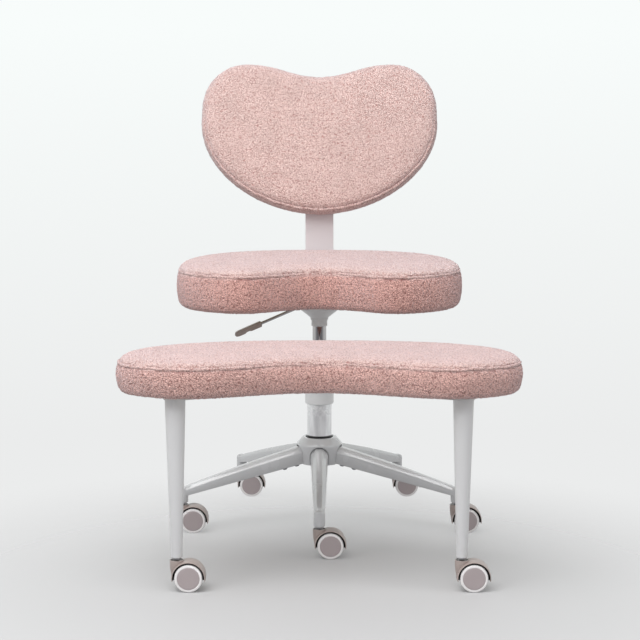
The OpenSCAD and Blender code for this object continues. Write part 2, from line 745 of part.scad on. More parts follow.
module platform_leg(place) color(shell_grey) at_stem(place) difference() {
    plug_h = grip_l + leg_foot_d / 2;
    translate([0, 0, socket_z]) cylinder(d1 = leg_foot_d, d2 = leg_top_d, h = frame_z - socket_z);
    foot_d = leg_foot_d + (leg_top_d - leg_foot_d) * plug_h / (frame_z - socket_z);
    translate([0, 0, socket_z + plug_h])
        cylinder(d1 = foot_d - 2 * leg_wall, d2 = leg_top_d - 2 * leg_wall,
            h = frame_z - socket_z - plug_h + over);
    translate([0, 0, socket_z - over]) cylinder(d = grip_d + 2 * seat_gap, h = grip_l + over + seat_gap);
}

module platform_leg_left() platform_leg(leg_stem(1));

module platform_leg_right() platform_leg(leg_stem(2));

module platform_screws() color(dark_steel) {
    for (p = frame_screw_places) translate([p[0], p[1], frame_z]) screw(frame_t + screw_bite);
}

// Seat and back

// Carries its children to the backrest's rear plane: X across, Y up the back, Z to the front
module at_back() {
    translate([0, bar_y, bend_z]) rotate([90 - recline, 0, 0]) children();
}

// The outline hangs with its hollow at the top, so it is turned half a turn
module back_turn() {
    translate([0, back_low - back_drop, 0]) rotate([0, 0, 180]) children();
}

module at_flange_screws() {
    for (k = [0 : 3]) rotate([0, 0, 45 + 90 * k])
        translate([flange_screw_r, 0, seat_z - mech_flange_t]) children();
}

module at_bar_screws() {
    for (side = [-1, 1]) for (y = bar_screw_ys) translate([side * bar_screw_x, y, seat_z - bar_t]) children();
}

module at_back_screws() {
    for (side = [-1, 1]) for (h = back_screw_hs)
        at_back() translate([side * bar_screw_x, h, -bar_t]) children();
}

module seat_mechanism() color(shell_grey) {
    bore_r = cylinder_d / 2 + seat_gap;
    lug = hinge_l * 0.3;
    lip_z = mech_z + mech_h * 0.27;
    flare = mech_body_d / 2 - mech_lip_d / 2;
    difference() {
        rotate_extrude() polygon([
            [0, mech_z], [mech_neck_d / 2, mech_z], [mech_neck_d / 2, lip_z], [mech_lip_d / 2, lip_z],
            [mech_lip_d / 2, lip_z + mech_h * 0.1], [mech_lip_d / 2 + flare * 0.18, lip_z + mech_h * 0.18],
            [mech_lip_d / 2 + flare * 0.68, lip_z + mech_h * 0.36],
            [mech_body_d / 2, mech_z + mech_h * 0.75], [mech_body_d / 2, seat_z - mech_flange_t],
            [mech_flange_d / 2, seat_z - mech_flange_t], [mech_flange_d / 2, seat_z], [0, seat_z]
        ]);
        rotate_extrude() polygon([
            [0, mech_z - over], [bore_r, mech_z - over], [bore_r, cylinder_top_z - taper_h],
            [bore_r - cylinder_taper, cylinder_top_z], [bore_r - cylinder_taper, hollow_z + over],
            [0, hollow_z + over]
        ]);
        translate([0, 0, hollow_z]) cylinder(d = mech_hollow_d, h = mech_hollow_h);
        translate([-mech_body_d, -lever_d * 0.75, hollow_z])
            cube([mech_body_d, lever_d * 1.5, seat_z - mech_flange_t * 0.3 - hollow_z]);
        at_flange_screws() screw_hole(mech_flange_t);
    }
    for (side = [-1, 1]) difference() {
        translate([-hinge_x - hinge_d * 0.8, side > 0 ? hinge_l / 2 - lug : -hinge_l / 2, hollow_z])
            cube([hinge_d * 1.6, lug, mech_hollow_h]);
        translate([-hinge_x, 0, lever_z]) rotate([90, 0, 0])
            cylinder(d = hinge_d + 2 * running_gap, h = 2 * hinge_l, center = true);
    }
}

// Lever: level inside the mechanism over the release pin, then sloping down to the paddle
module lever_rod() color(steel_grey) {
    inner_x = pin_d * 0.7;
    slope_l = (paddle_x - lever_bend_x) / cos(lever_slope) + paddle_l / 2;
    translate([inner_x, 0, lever_z]) rotate([0, -90, 0]) cylinder(d = lever_d, h = lever_bend_x + inner_x);
    translate([-lever_bend_x, 0, lever_z]) {
        sphere(d = lever_d);
        rotate([0, -90 - lever_slope, 0]) cylinder(d = lever_d, h = slope_l);
    }
    translate([-hinge_x, 0, lever_z]) rotate([90, 0, 0]) cylinder(d = hinge_d, h = hinge_l, center = true);
}

// Paddle: a flat grip with a finger notch in its underside
module lever_paddle() color(hood_grey) {
    start = (paddle_x - lever_bend_x) / cos(lever_slope);
    low = -paddle_h * 0.55;
    high = paddle_h * 0.45;
    translate([-lever_bend_x, 0, lever_z]) rotate([0, -lever_slope, 0]) difference() {
        translate([0, paddle_w / 2, 0]) rotate([90, 0, 0]) linear_extrude(height = paddle_w) {
            polygon([
                [-start, low], [-start, high], [-start - paddle_l + paddle_h / 2, high * 0.9],
                [-start - paddle_l + paddle_h / 2, low * 0.9], [-start - paddle_l * 0.62, low],
                [-start - paddle_l * 0.56, low * 0.72], [-start - paddle_l * 0.48, low * 0.72],
                [-start - paddle_l * 0.42, low]
            ]);
            translate([-start - paddle_l + paddle_h / 2, (low + high) * 0.45]) circle(d = paddle_h * 0.9);
        }
        rotate([0, -90, 0]) cylinder(d = lever_d + seat_gap, h = start + paddle_l / 2 + seat_gap);
    }
}

module seat_board() color(plywood) difference() {
    translate([0, 0, seat_z]) board(seat_outline, cushion_rim + board_gap, seat_board_t);
    at_flange_screws() screw_hole(mech_flange_t + screw_bite);
    at_bar_screws() screw_hole(bar_t + screw_bite);
}

module seat_cushion() color(fabric_pink) translate([0, 0, seat_z + cushion_lift]) {
    pocket = seat_board_t - cushion_lift + board_gap;
    cushion(seat_outline, cushion_edge(pocket, cushion_corner, seat_side_h, seat_crown, crown_run));
}

// Points round a centre from one angle to another
function arc_points(centre, r, from, to, steps) =
    [for (k = [0 : steps]) let (a = from + (to - from) * k / steps) centre + r * [cos(a), sin(a)]];

// A point of the bar's side, from its place in the backrest's plane
function back_point(across, up) = [
    bar_y + across * cos(recline) + up * sin(recline), bend_z - across * sin(recline) + up * cos(recline)
];

// Side of the bar: its underside and rear up to the top, then its front and upper side back again
module bar_side() {
    low = [bar_y - bar_bend_r, seat_z + bar_bend_r];
    high = [bar_y + upper_bend_r, bend_z - upper_bend_r * tan(recline / 2)];
    polygon(concat(
        [[bar_start, seat_z], [bar_start, seat_z - bar_t]],
        arc_points(low, bar_bend_r + bar_t, -90, 0, low_bend_steps),
        arc_points(high, upper_bend_r - bar_t, 180, 180 - recline, high_bend_steps),
        [back_point(bar_t, bar_top_l), back_point(0, bar_top_l)],
        arc_points(high, upper_bend_r, 180 - recline, 180, high_bend_steps),
        arc_points(low, bar_bend_r, 0, -90, low_bend_steps)
    ));
}

// What is cut off to round the bar's top corners
module bar_corners() {
    x = bar_w / 2 - bar_corner_r;
    y = bar_top_l - bar_corner_r;
    for (side = [0, 1]) mirror([side, 0]) polygon(concat(
        arc_points([x, y], bar_corner_r, 0, 90, low_bend_steps / 2),
        [[x, bar_top_l + over], [bar_w / 2 + over, bar_top_l + over], [bar_w / 2 + over, y]]
    ));
}

// Flat steel bar: under the seat board, up behind the seat, then leaning back with the backrest
module back_bar() color(shell_grey) difference() {
    translate([-bar_w / 2, 0, 0]) rotate([90, 0, 90]) linear_extrude(height = bar_w) bar_side();
    at_bar_screws() screw_hole(bar_t);
    at_back_screws() screw_hole(bar_t);
    at_back() translate([0, 0, -2 * bar_t]) linear_extrude(height = 3 * bar_t) bar_corners();
}

module back_board() color(shell_grey) difference() {
    at_back() back_turn() board(back_outline, cushion_rim + board_gap, back_board_t);
    at_back_screws() screw_hole(bar_t + screw_bite);
}

module back_cushion() color(fabric_pink) at_back() back_turn() translate([0, 0, cushion_lift]) {
    pocket = back_board_t - cushion_lift + board_gap;
    cushion(back_outline, cushion_edge(pocket, back_corner, back_side_h, back_crown, crown_run));
}

module seat_screws() color(dark_steel) {
    at_flange_screws() screw(mech_flange_t + screw_bite);
    at_bar_screws() screw(bar_t + screw_bite);
    at_back_screws() screw(bar_t + screw_bite);
}

base_hub();
base_arm(1);  // base_arm_1
base_arm(2);  // base_arm_2
base_arm(3);  // base_arm_3
base_arm(4);  // base_arm_4
base_arm(5);  // base_arm_5
base_arm_bolts();
base_caster_stems();
column_tube();
column_guide_bush();
thrust_bearing();
piston_rod();
rod_clip();
gas_cylinder();
release_pin();
platform_collar();
platform_frame();
platform_board();
platform_cushion();
platform_leg_left();
platform_leg_right();
platform_screws();
leg_caster_stems();
seat_mechanism();
lever_rod();
lever_paddle();
seat_board();
seat_cushion();
back_bar();
back_board();
back_cushion();
seat_screws();
caster_hood(base_stem(1));  // base_caster_1_hood
caster_axle(base_stem(1));  // base_caster_1_axle
caster_wheels(base_stem(1));  // base_caster_1_wheels
caster_tyres(base_stem(1));  // base_caster_1_tyres
caster_hood(base_stem(2));  // base_caster_2_hood
caster_axle(base_stem(2));  // base_caster_2_axle
caster_wheels(base_stem(2));  // base_caster_2_wheels
caster_tyres(base_stem(2));  // base_caster_2_tyres
caster_hood(base_stem(3));  // base_caster_3_hood
caster_axle(base_stem(3));  // base_caster_3_axle
caster_wheels(base_stem(3));  // base_caster_3_wheels
caster_tyres(base_stem(3));  // base_caster_3_tyres
caster_hood(base_stem(4));  // base_caster_4_hood
caster_axle(base_stem(4));  // base_caster_4_axle
caster_wheels(base_stem(4));  // base_caster_4_wheels
caster_tyres(base_stem(4));  // base_caster_4_tyres
caster_hood(base_stem(5));  // base_caster_5_hood
caster_axle(base_stem(5));  // base_caster_5_axle
caster_wheels(base_stem(5));  // base_caster_5_wheels
caster_tyres(base_stem(5));  // base_caster_5_tyres
caster_hood(leg_stem(1));  // leg_caster_1_hood
caster_axle(leg_stem(1));  // leg_caster_1_axle
caster_wheels(leg_stem(1));  // leg_caster_1_wheels
caster_tyres(leg_stem(1));  // leg_caster_1_tyres
caster_hood(leg_stem(2));  // leg_caster_2_hood
caster_axle(leg_stem(2));  // leg_caster_2_axle
caster_wheels(leg_stem(2));  // leg_caster_2_wheels
caster_tyres(leg_stem(2));  // leg_caster_2_tyres
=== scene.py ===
# %% [markdown]
# Cross-legged office chair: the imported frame.
# The chair's solids come in as a fixed frame, in metres, with the floor at height 0 and the
# front at -Y. Their places are settled, so a new piece only has to be drawn where they are.

# %% Load the frame
import json
import math

import bmesh
import bpy
import numpy as np
from mathutils import Matrix, Vector, noise

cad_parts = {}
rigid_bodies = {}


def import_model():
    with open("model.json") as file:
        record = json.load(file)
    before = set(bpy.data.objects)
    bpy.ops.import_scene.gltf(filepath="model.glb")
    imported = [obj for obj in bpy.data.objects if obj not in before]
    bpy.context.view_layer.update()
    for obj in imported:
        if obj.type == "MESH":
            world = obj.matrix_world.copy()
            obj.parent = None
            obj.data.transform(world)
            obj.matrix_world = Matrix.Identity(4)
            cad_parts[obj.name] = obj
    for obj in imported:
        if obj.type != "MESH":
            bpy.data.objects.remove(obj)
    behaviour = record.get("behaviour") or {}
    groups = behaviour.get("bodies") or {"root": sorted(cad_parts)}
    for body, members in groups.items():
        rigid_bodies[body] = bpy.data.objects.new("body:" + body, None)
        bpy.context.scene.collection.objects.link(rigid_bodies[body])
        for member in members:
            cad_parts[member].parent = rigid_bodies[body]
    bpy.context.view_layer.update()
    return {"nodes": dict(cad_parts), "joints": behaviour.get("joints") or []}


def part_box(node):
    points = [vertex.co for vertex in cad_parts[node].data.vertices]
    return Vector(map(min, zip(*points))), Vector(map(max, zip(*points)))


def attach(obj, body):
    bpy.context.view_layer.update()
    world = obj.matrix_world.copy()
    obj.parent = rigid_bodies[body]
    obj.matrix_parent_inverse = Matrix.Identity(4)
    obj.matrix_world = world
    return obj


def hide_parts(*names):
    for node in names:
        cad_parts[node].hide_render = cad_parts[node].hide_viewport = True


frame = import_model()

MM = 0.001
FULL_TURN = math.tau
scene = bpy.context.scene
nodes = frame["nodes"]
anchors = {joint["name"]: Vector(joint["pos_m"]) / MM for joint in frame["joints"] if "pos_m" in joint}
print("solids:", len(nodes), "joints:", len(anchors))

# %% [markdown]
# A picture is only comparable with a photograph from the same place. The camera could be framed
# by eye, but its height, distance and tilt were solved from the widths of the seat, the platform
# and the casters, so it stands 3.6 m in front of the column at the height of a low tripod.

# %% Camera
CAMERA_PLACE = (0.0012, -3.609, 0.892)
CAMERA_TILT = math.radians(82.48)
camera_data = bpy.data.cameras.new("camera")
camera_data.sensor_width = 36
camera_data.lens = 101.25
camera = bpy.data.objects.new("camera", camera_data)
camera.location = CAMERA_PLACE
camera.rotation_euler = (CAMERA_TILT, 0, 0)
scene.collection.objects.link(camera)
scene.camera = camera
print("camera at", CAMERA_PLACE)

# %% [markdown]
# Materials are small node trees. One function adds a node with its settings and links, another
# turns a colour picked as sRGB hex into the linear numbers that a shader works in, and a third
# gives a pattern its real size.

# %% Helpers for materials


def srgb(colour):
    """The linear colour that an sRGB hex value stands for."""
    parts = [int(colour[i:i + 2], 16) / 255 for i in (1, 3, 5)]
    return (*[c / 12.92 if c <= 0.04045 else ((c + 0.055) / 1.055) ** 2.4 for c in parts], 1)


def add(tree, kind, inputs=(), **settings):
    """A new node with its settings, each input a value or the socket that feeds it."""
    made = tree.nodes.new(kind)
    for name, value in settings.items():
        setattr(made, name, value)
    for socket, value in dict(inputs).items():
        if isinstance(value, bpy.types.NodeSocket):
            tree.links.new(value, made.inputs[socket])
        else:
            made.inputs[socket].default_value = value
    return made


def start_material(name, **constants):
    """A material with its shader, the shader's constant settings, and Object coordinates."""
    material = bpy.data.materials.new(name)
    material.use_nodes = True
    tree = material.node_tree
    shader = tree.nodes["Principled BSDF"]
    for socket, value in constants.items():
        shader.inputs[socket.replace("_", " ")].default_value = value
    place = add(tree, "ShaderNodeTexCoord").outputs["Object"]
    return material, tree, shader, place


def plug(tree, shader, **sockets):
    """Each socket linked to the shader's input of that name."""
    for name, socket in sockets.items():
        tree.links.new(socket, shader.inputs[name.replace("_", " ")])


def per_metre(size_mm):
    """The texture scale at which one grain of the pattern is this many millimetres."""
    return 1 / (size_mm * MM)


# %% [markdown]
# Painted steel. The legs, the platform's frame, the back bar and the mechanism are steel tube and
# plate with a sprayed powder coat, baked on. The coat flows together into a satin skin with a
# fine orange peel, so it gives a soft, wide highlight and no mirror image.

# %% Painted and moulded finishes
MOTTLE = 0.04
CLOUD_MM = 60


def skin(name, colour, roughness, grain_mm, grain_depth_mm, **constants):
    """A smooth skin with a fine grain: paint with orange peel, or plastic from a textured mould."""
    material, tree, shader, place = start_material(name, **constants)
    grain = add(tree, "ShaderNodeTexNoise", {"Vector": place, "Scale": per_metre(grain_mm), "Detail": 2.0})
    bump = add(tree, "ShaderNodeBump", {
        "Height": grain.outputs[0], "Strength": 0.5, "Distance": grain_depth_mm * MM})
    cloud = add(tree, "ShaderNodeTexNoise", {"Vector": place, "Scale": per_metre(CLOUD_MM), "Detail": 3.0})
    worn = add(tree, "ShaderNodeMapRange", {
        "Value": cloud.outputs[0], "From Min": 0.3, "From Max": 0.7,
        "To Min": roughness * (1 - 3 * MOTTLE), "To Max": roughness * (1 + 3 * MOTTLE)})
    tone = add(tree, "ShaderNodeMix", {
        0: cloud.outputs[0], 6: [c * (1 - MOTTLE) for c in srgb(colour)[:3]] + [1], 7: srgb(colour)},
        data_type="RGBA")
    plug(tree, shader, Base_Color=tone.outputs[2], Roughness=worn.outputs[0], Normal=bump.outputs[0])
    return material


powder_coat = skin("powder_coat", "#D3D3D4", 0.38, 0.9, 0.03)
bar_coat = skin("bar_coat", "#DBD6D8", 0.4, 0.9, 0.03)
gloss_enamel = skin("gloss_enamel", "#C0C1C3", 0.26, 1.6, 0.01, Coat_Weight=0.9, Coat_Roughness=0.06)
collar_nylon = skin("collar_nylon", "#E6E7E8", 0.36, 0.6, 0.02)
hood_nylon = skin("hood_nylon", "#A1948F", 0.36, 0.7, 0.02)
disc_nylon = skin("disc_nylon", "#A79C9D", 0.46, 0.7, 0.02)
tyre_rubber = skin("tyre_polyurethane", "#E9E6E6", 0.5, 1.2, 0.03)
bush_nylon = skin("bush_nylon", "#3A3838", 0.45, 0.8, 0.03)
black_oxide = skin("black_oxide_steel", "#3B3838", 0.38, 0.5, 0.02, Metallic=0.85)
ground_steel = skin("ground_steel", "#A9A9AB", 0.3, 0.4, 0.02, Metallic=1.0)
zinc_plate = skin("zinc_plate", "#77787B", 0.35, 0.5, 0.02, Metallic=1.0)
chrome = skin("chrome_plate", "#B4B2B2", 0.07, 3.0, 0.004, Metallic=1.0)
print("plain finishes:", len(bpy.data.materials))

# %% [markdown]
# Two finishes need a little more. The inside of a caster hood sits in shadow, so the hood's mesh
# carries an attribute, 1 on the walls of its wheel wells, and the material paints the nylon near
# black there as painted shade. The outer tube is plated steel that still wears its clear film: the
# film is thin gloss over the steel, with upright creases and a crumpled band under the collar, whose
# crests are painted paler and folds darker as painted highlight and shade. It stops short of the
# hub, and the bare foot below it is painted near black as a painted reflection of the dark gap.

# %% Dark wheel wells, and the tube in its film
tree = hood_nylon.node_tree
shader = tree.nodes["Principled BSDF"]
outside = shader.inputs["Base Color"].links[0].from_socket
# painted shade: where the hood's well attribute is 1, the nylon is painted near black
well = add(tree, "ShaderNodeAttribute", attribute_name="well")
wells_painted_shade = add(tree, "ShaderNodeMix", {0: well.outputs["Fac"], 6: outside, 7: srgb("#0E0A0A")},
              data_type="RGBA")
polish = shader.inputs["Roughness"].links[0].from_socket
dull = add(tree, "ShaderNodeMix", {0: well.outputs["Fac"], 2: polish, 3: 0.9})
plug(tree, shader, Base_Color=wells_painted_shade.outputs[2], Roughness=dull.outputs[0])

FILM_END_MM = 180.5
CRUMPLE_FROM_MM = 222


def filmed_tube_finish():
    """Satin plated steel under a clear film with upright creases and a crumpled band, painted paler on
    their crests and darker in their folds, and painted near black below the film as a reflection of the
    dark gap.
    """
    material, tree, shader, place = start_material(
        "filmed_plated_tube", Metallic=0.5, Coat_Weight=0.9, Coat_Roughness=0.12, Roughness=0.3)
    tall = add(tree, "ShaderNodeMapping", {"Vector": place, "Scale": (1.0, 1.0, 0.12)})
    creases = add(tree, "ShaderNodeTexNoise", {
        "Vector": tall.outputs[0], "Scale": per_metre(9), "Detail": 3.0})
    crumple = add(tree, "ShaderNodeTexNoise", {
        "Vector": place, "Scale": per_metre(7), "Detail": 4.0, "Distortion": 0.8})
    height = add(tree, "ShaderNodeSeparateXYZ", {0: place})
    band = add(tree, "ShaderNodeMapRange", {
        "Value": height.outputs[2], "From Min": (CRUMPLE_FROM_MM - 2) * MM,
        "From Max": (CRUMPLE_FROM_MM + 3) * MM})
    relief = add(tree, "ShaderNodeMix", {0: band.outputs[0], 2: creases.outputs[0], 3: crumple.outputs[0]})
    bump = add(tree, "ShaderNodeBump", {"Height": relief.outputs[0], "Strength": 0.8, "Distance": 2.2 * MM})
    # painted highlight and shade: the colour is paler on the crests of the film's creases and darker in
    # their folds
    crease_painted_light = add(tree, "ShaderNodeMapRange", {"Value": relief.outputs[0], "From Min": 0.35, "From Max": 0.65})
    tone = add(tree, "ShaderNodeMix", {0: crease_painted_light.outputs[0], 6: srgb("#D8D9DB"), 7: srgb("#F6F7F8")},
               data_type="RGBA")
    # painted reflection: below the film's end the colour is near black, standing in for the dark gap
    # mirrored by the bare foot
    film = add(tree, "ShaderNodeMapRange", {
        "Value": height.outputs[2], "From Min": FILM_END_MM * MM, "From Max": (FILM_END_MM + 0.6) * MM})
    foot_painted_dark = add(tree, "ShaderNodeMix", {0: film.outputs[0], 6: srgb("#1D1C1D"), 7: tone.outputs[2]},
                  data_type="RGBA")
    plug(tree, shader, Base_Color=foot_painted_dark.outputs[2], Normal=bump.outputs[0])
    return material


tube_film = filmed_tube_finish()
print("film from", FILM_END_MM, "mm above the floor, crumpled from", CRUMPLE_FROM_MM, "mm")

# %% [markdown]
# Plywood. The boards under the seat and the platform are birch ply, cut on a router, with a pale
# face grain that runs from side to side. They show from below, inside the cushion's rolled rim.

# %% Plywood


def plywood_finish():
    """Birch ply: noise stretched from side to side for the face grain."""
    material, tree, shader, place = start_material("birch_plywood", Roughness=0.62)
    stretched = add(tree, "ShaderNodeMapping", {"Vector": place, "Scale": (4, 60, 4)})
    grain = add(tree, "ShaderNodeTexNoise", {
        "Vector": stretched.outputs[0], "Scale": 6.0, "Detail": 6.0, "Distortion": 0.4})
    tone = add(tree, "ShaderNodeMix", {
        0: grain.outputs[0], 6: srgb("#C3B195"), 7: srgb("#DED2BC")}, data_type="RGBA")
    bump = add(tree, "ShaderNodeBump", {"Height": grain.outputs[0], "Strength": 0.3, "Distance": 0.2 * MM})
    plug(tree, shader, Base_Color=tone.outputs[2], Normal=bump.outputs[0])
    return material


plywood = plywood_finish()
print("boards' finish:", plywood.name)

# %% [markdown]
# Boucle cloth. The three cushions are covered in a short looped pile of curly yarn, like lamb's
# wool. Each curl is 2 to 3 mm across and catches the light on its top, with dark pits between.
# Up close it is geometry, but the pits are finer than a mesh of sensible size, so the curls are
# drawn twice: the large ones move the mesh, and this material adds the small ones as bump and as
# colour, the pits darker as painted shade and the curl tops paler as painted light. The side bands
# and the seam creases take a deeper painted shade from attributes on the mesh. Loose fibre ends
# glow where the cloth is seen at a grazing angle, which is sheen.

# %% Boucle cloth
CURL_MM = 2.4
TWIST_MM = 5


def boucle_finish():
    """Curly pile: warped cells for the curls, with pits painted darker as painted shade and tops paler as
    painted light, a deeper painted shade on the side bands and in the seam creases, fine fibres and a soft
    sheen.
    """
    material, tree, shader, place = start_material(
        "boucle_cloth", Roughness=0.92, Sheen_Weight=0.85, Sheen_Roughness=0.42, Specular_IOR_Level=0.2)
    shader.inputs["Sheen Tint"].default_value = srgb("#F3E9F0")
    twist = add(tree, "ShaderNodeTexNoise", {"Vector": place, "Scale": per_metre(4), "Detail": 1.0})
    centred = add(tree, "ShaderNodeVectorMath", {0: twist.outputs["Color"], 1: (0.5, 0.5, 0.5)},
                  operation="SUBTRACT")
    warped = add(tree, "ShaderNodeVectorMath", {
        0: centred.outputs[0], 1: (TWIST_MM * MM,) * 3, 2: place}, operation="MULTIPLY_ADD")
    curls = add(tree, "ShaderNodeTexVoronoi", {
        "Vector": warped.outputs[0], "Scale": per_metre(CURL_MM)})
    height = add(tree, "ShaderNodeMapRange", {
        "Value": curls.outputs["Distance"], "From Min": 0.05, "From Max": 0.86,
        "To Min": 1.0, "To Max": 0.0})
    fibre = add(tree, "ShaderNodeTexNoise", {"Vector": place, "Scale": per_metre(0.9), "Detail": 2.0})
    pile = add(tree, "ShaderNodeMath", {0: fibre.outputs[0], 1: 0.35, 2: height.outputs[0]},
               operation="MULTIPLY_ADD")
    bump = add(tree, "ShaderNodeBump", {"Height": pile.outputs[0], "Strength": 1.0, "Distance": 2.0 * MM})
    # painted shade: the side band's attribute turns pit and tuft towards deeper, darker tones
    side = add(tree, "ShaderNodeAttribute", attribute_name="side_band_shade")
    pit = add(tree, "ShaderNodeMix", {
        0: side.outputs["Fac"], 6: srgb("#AD766F"), 7: srgb("#612822")}, data_type="RGBA")
    tuft = add(tree, "ShaderNodeMix", {
        0: side.outputs["Fac"], 6: srgb("#FFECE6"), 7: srgb("#FFCCC1")}, data_type="RGBA")
    # painted shade and light: the pits take the darker colour and the curl tops the paler one
    tone = add(tree, "ShaderNodeMix", {0: pile.outputs[0], 6: pit.outputs[2], 7: tuft.outputs[2]},
               data_type="RGBA")
    cloud = add(tree, "ShaderNodeTexNoise", {"Vector": place, "Scale": per_metre(45), "Detail": 3.0})
    rubbed = add(tree, "ShaderNodeMapRange", {
        "Value": cloud.outputs[0], "From Min": 0.3, "From Max": 0.7, "To Min": 0.93, "To Max": 1.03})
    shaded = add(tree, "ShaderNodeMix", {
        0: 1.0, 6: tone.outputs[2], 7: rubbed.outputs[0]}, data_type="RGBA", blend_type="MULTIPLY")
    # painted shade: the crease attribute darkens the cloth in patchy lines either side of each seam, where
    # the pile parts
    seam_crease_shade = add(tree, "ShaderNodeAttribute", attribute_name="seam_crease_shade")
    with_crease_shade = add(tree, "ShaderNodeMix", {
        0: seam_crease_shade.outputs["Fac"], 6: shaded.outputs[2], 7: srgb("#8A4F4A")}, data_type="RGBA")
    plug(tree, shader, Base_Color=with_crease_shade.outputs[2], Normal=bump.outputs[0])
    return material


boucle = boucle_finish()
print("cloth finish:", boucle.name, "with curls of", CURL_MM, "mm")

# %% [markdown]
# The frame's own solids keep their shapes and get real finishes. Each node's material slot is
# filled by the first word of the list below that its name ends with.

# %% Finishes of the solids that stay
FINISHES = {
    "_hood": hood_nylon, "_wheels": disc_nylon, "_tyres": tyre_rubber, "_axle": ground_steel,
    "_stems": ground_steel, "_bolts": zinc_plate, "_screws": black_oxide, "base_hub": gloss_enamel,
    "column_tube": tube_film, "_bush": bush_nylon, "_bearing": ground_steel, "piston_rod": ground_steel,
    "rod_clip": black_oxide, "gas_cylinder": chrome, "release_pin": ground_steel,
    "platform_collar": collar_nylon, "platform_frame": powder_coat, "_leg_left": powder_coat,
    "_leg_right": powder_coat, "seat_mechanism": powder_coat, "lever_rod": chrome, "_paddle": hood_nylon,
    "back_bar": bar_coat, "back_board": collar_nylon, "_board": plywood, "_cushion": boucle,
}
for name, node in nodes.items():
    finish = next((m for word, m in FINISHES.items() if name.endswith(word)), gloss_enamel)
    node.data.materials.clear()
    node.data.materials.append(finish)
print("solids with a finish:", sum(bool(n.data.materials) for n in nodes.values()))

# %% [markdown]
# Most metal and plastic pieces here are turned shapes or plates with rounded edges. They could be
# boxes and cylinders with a bevel modifier, but a turned piece is cleaner when its profile is
# rounded first, corner by corner, and then spun once round its axis.

# %% Helpers for shapes


def at(*place):
    """A point or a size in metres from millimetres."""
    return Vector(place) * MM


def round_corners(bm, verts, radius, segments):
    """The given corners of a line or face rounded to a radius in millimetres."""
    bmesh.ops.bevel(bm, geom=verts, offset=radius * MM, offset_type="OFFSET", segments=segments,
                    profile=0.5, affect="VERTICES", material=-1)


def rounded_line(spots, closed, segments):
    """A line through spots of (x, y, z, rounding) in millimetres, as a bmesh."""
    bm = bmesh.new()
    verts = [bm.verts.new(at(*place)) for *place, _ in spots]
    for a, b in zip(verts, verts[1:] + verts[:closed]):
        bm.edges.new((a, b))
    for vert, (*_, rounding) in zip(verts, spots):
        if rounding:
            round_corners(bm, [vert], rounding, segments)
    return bm


def turned(profile, steps=96, closed=True):
    """Corners of (radius, height, rounding) in millimetres, rounded, then spun round Z."""
    bm = rounded_line([(r, 0, z, rounding) for r, z, rounding in profile], closed, 4)
    bmesh.ops.spin(bm, geom=bm.verts[:] + bm.edges[:], cent=(0, 0, 0), axis=(0, 0, 1),
                   angle=FULL_TURN, steps=steps, use_merge=True)
    return tidied(bm)


def tidied(bm):
    """Doubles merged and all faces turned outwards."""
    bmesh.ops.remove_doubles(bm, verts=bm.verts, dist=1e-6)
    bmesh.ops.recalc_face_normals(bm, faces=bm.faces)
    return bm


def moved(bm, matrix):
    """The shape carried to its place."""
    bmesh.ops.transform(bm, matrix=matrix, verts=bm.verts)
    return bm


def shift(x, y, z):
    """A move in millimetres."""
    return Matrix.Translation(at(x, y, z))


def turn(degrees, axis):
    """A turn about one of the axes through the origin."""
    return Matrix.Rotation(math.radians(degrees), 4, axis)


def as_object(bm, name):
    """The bmesh as an object in the scene."""
    mesh = bpy.data.meshes.new(name)
    bm.to_mesh(mesh)
    bm.free()
    made = bpy.data.objects.new(name, mesh)
    scene.collection.objects.link(made)
    return made


def discard(made):
    """An object removed with its mesh or curve."""
    bpy.data.batch_remove([made, made.data])


def evaluated(made):
    """A new bmesh of the object with its modifiers applied, the object itself thrown away."""
    result = bmesh.new()
    result.from_mesh(made.evaluated_get(bpy.context.evaluated_depsgraph_get()).to_mesh())
    discard(made)
    return result


def combined(bm, other, operation):
    """One shell cut by another, or joined to it, by the exact solver."""
    tool = as_object(other, "tool")
    work = as_object(bm, "work")
    cut = work.modifiers.new("cut", "BOOLEAN")
    cut.operation, cut.object, cut.solver = operation, tool, "EXACT"
    result = evaluated(work)
    discard(tool)
    return result


def gathered(shapes):
    """Several shapes as one bmesh."""
    whole = bmesh.new()
    for bm in shapes:
        mesh = bpy.data.meshes.new("gathered")
        bm.to_mesh(mesh)
        bm.free()
        whole.from_mesh(mesh)
        bpy.data.meshes.remove(mesh)
    return whole


def verts_of(geometry):
    """The vertices among mixed geometry."""
    return [g for g in geometry if isinstance(g, bmesh.types.BMVert)]


def pulled(bm, faces, x, y, z):
    """Flat faces pulled out by a move in millimetres, as a closed solid."""
    grown = bmesh.ops.extrude_face_region(bm, geom=faces)["geom"]
    bmesh.ops.translate(bm, vec=at(x, y, z), verts=verts_of(grown))
    return tidied(bm)


def block(place, size):
    """A box with its middle at a place."""
    bm = bmesh.new()
    bmesh.ops.create_cube(bm, size=1, matrix=shift(*place) @ Matrix.Diagonal((*at(*size), 1)))
    return bm


def piece(name, bm, body, material, stands_for=(), sharp=38):
    """A finished piece: smooth except at sharp edges, riding on its body."""
    made = as_object(bm, name)
    made.data.materials.append(material)
    made.data.polygons.foreach_set("use_smooth", [True] * len(made.data.polygons))
    made.data.set_sharp_from_angle(angle=math.radians(sharp))
    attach(made, body)
    if stands_for:
        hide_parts(*stands_for)
    return made


def round_edges(bm, edges, radius, segments):
    """The given edges rounded to a radius in millimetres."""
    bmesh.ops.bevel(bm, geom=edges, offset=radius * MM, offset_type="OFFSET", segments=segments,
                    profile=0.5, affect="EDGES", clamp_overlap=True, material=-1)
    return bm


def sharp_edges(bm, degrees=30):
    """The edges where two faces meet at more than this angle."""
    return [e for e in bm.edges if len(e.link_faces) == 2 and e.calc_face_angle() > math.radians(degrees)]


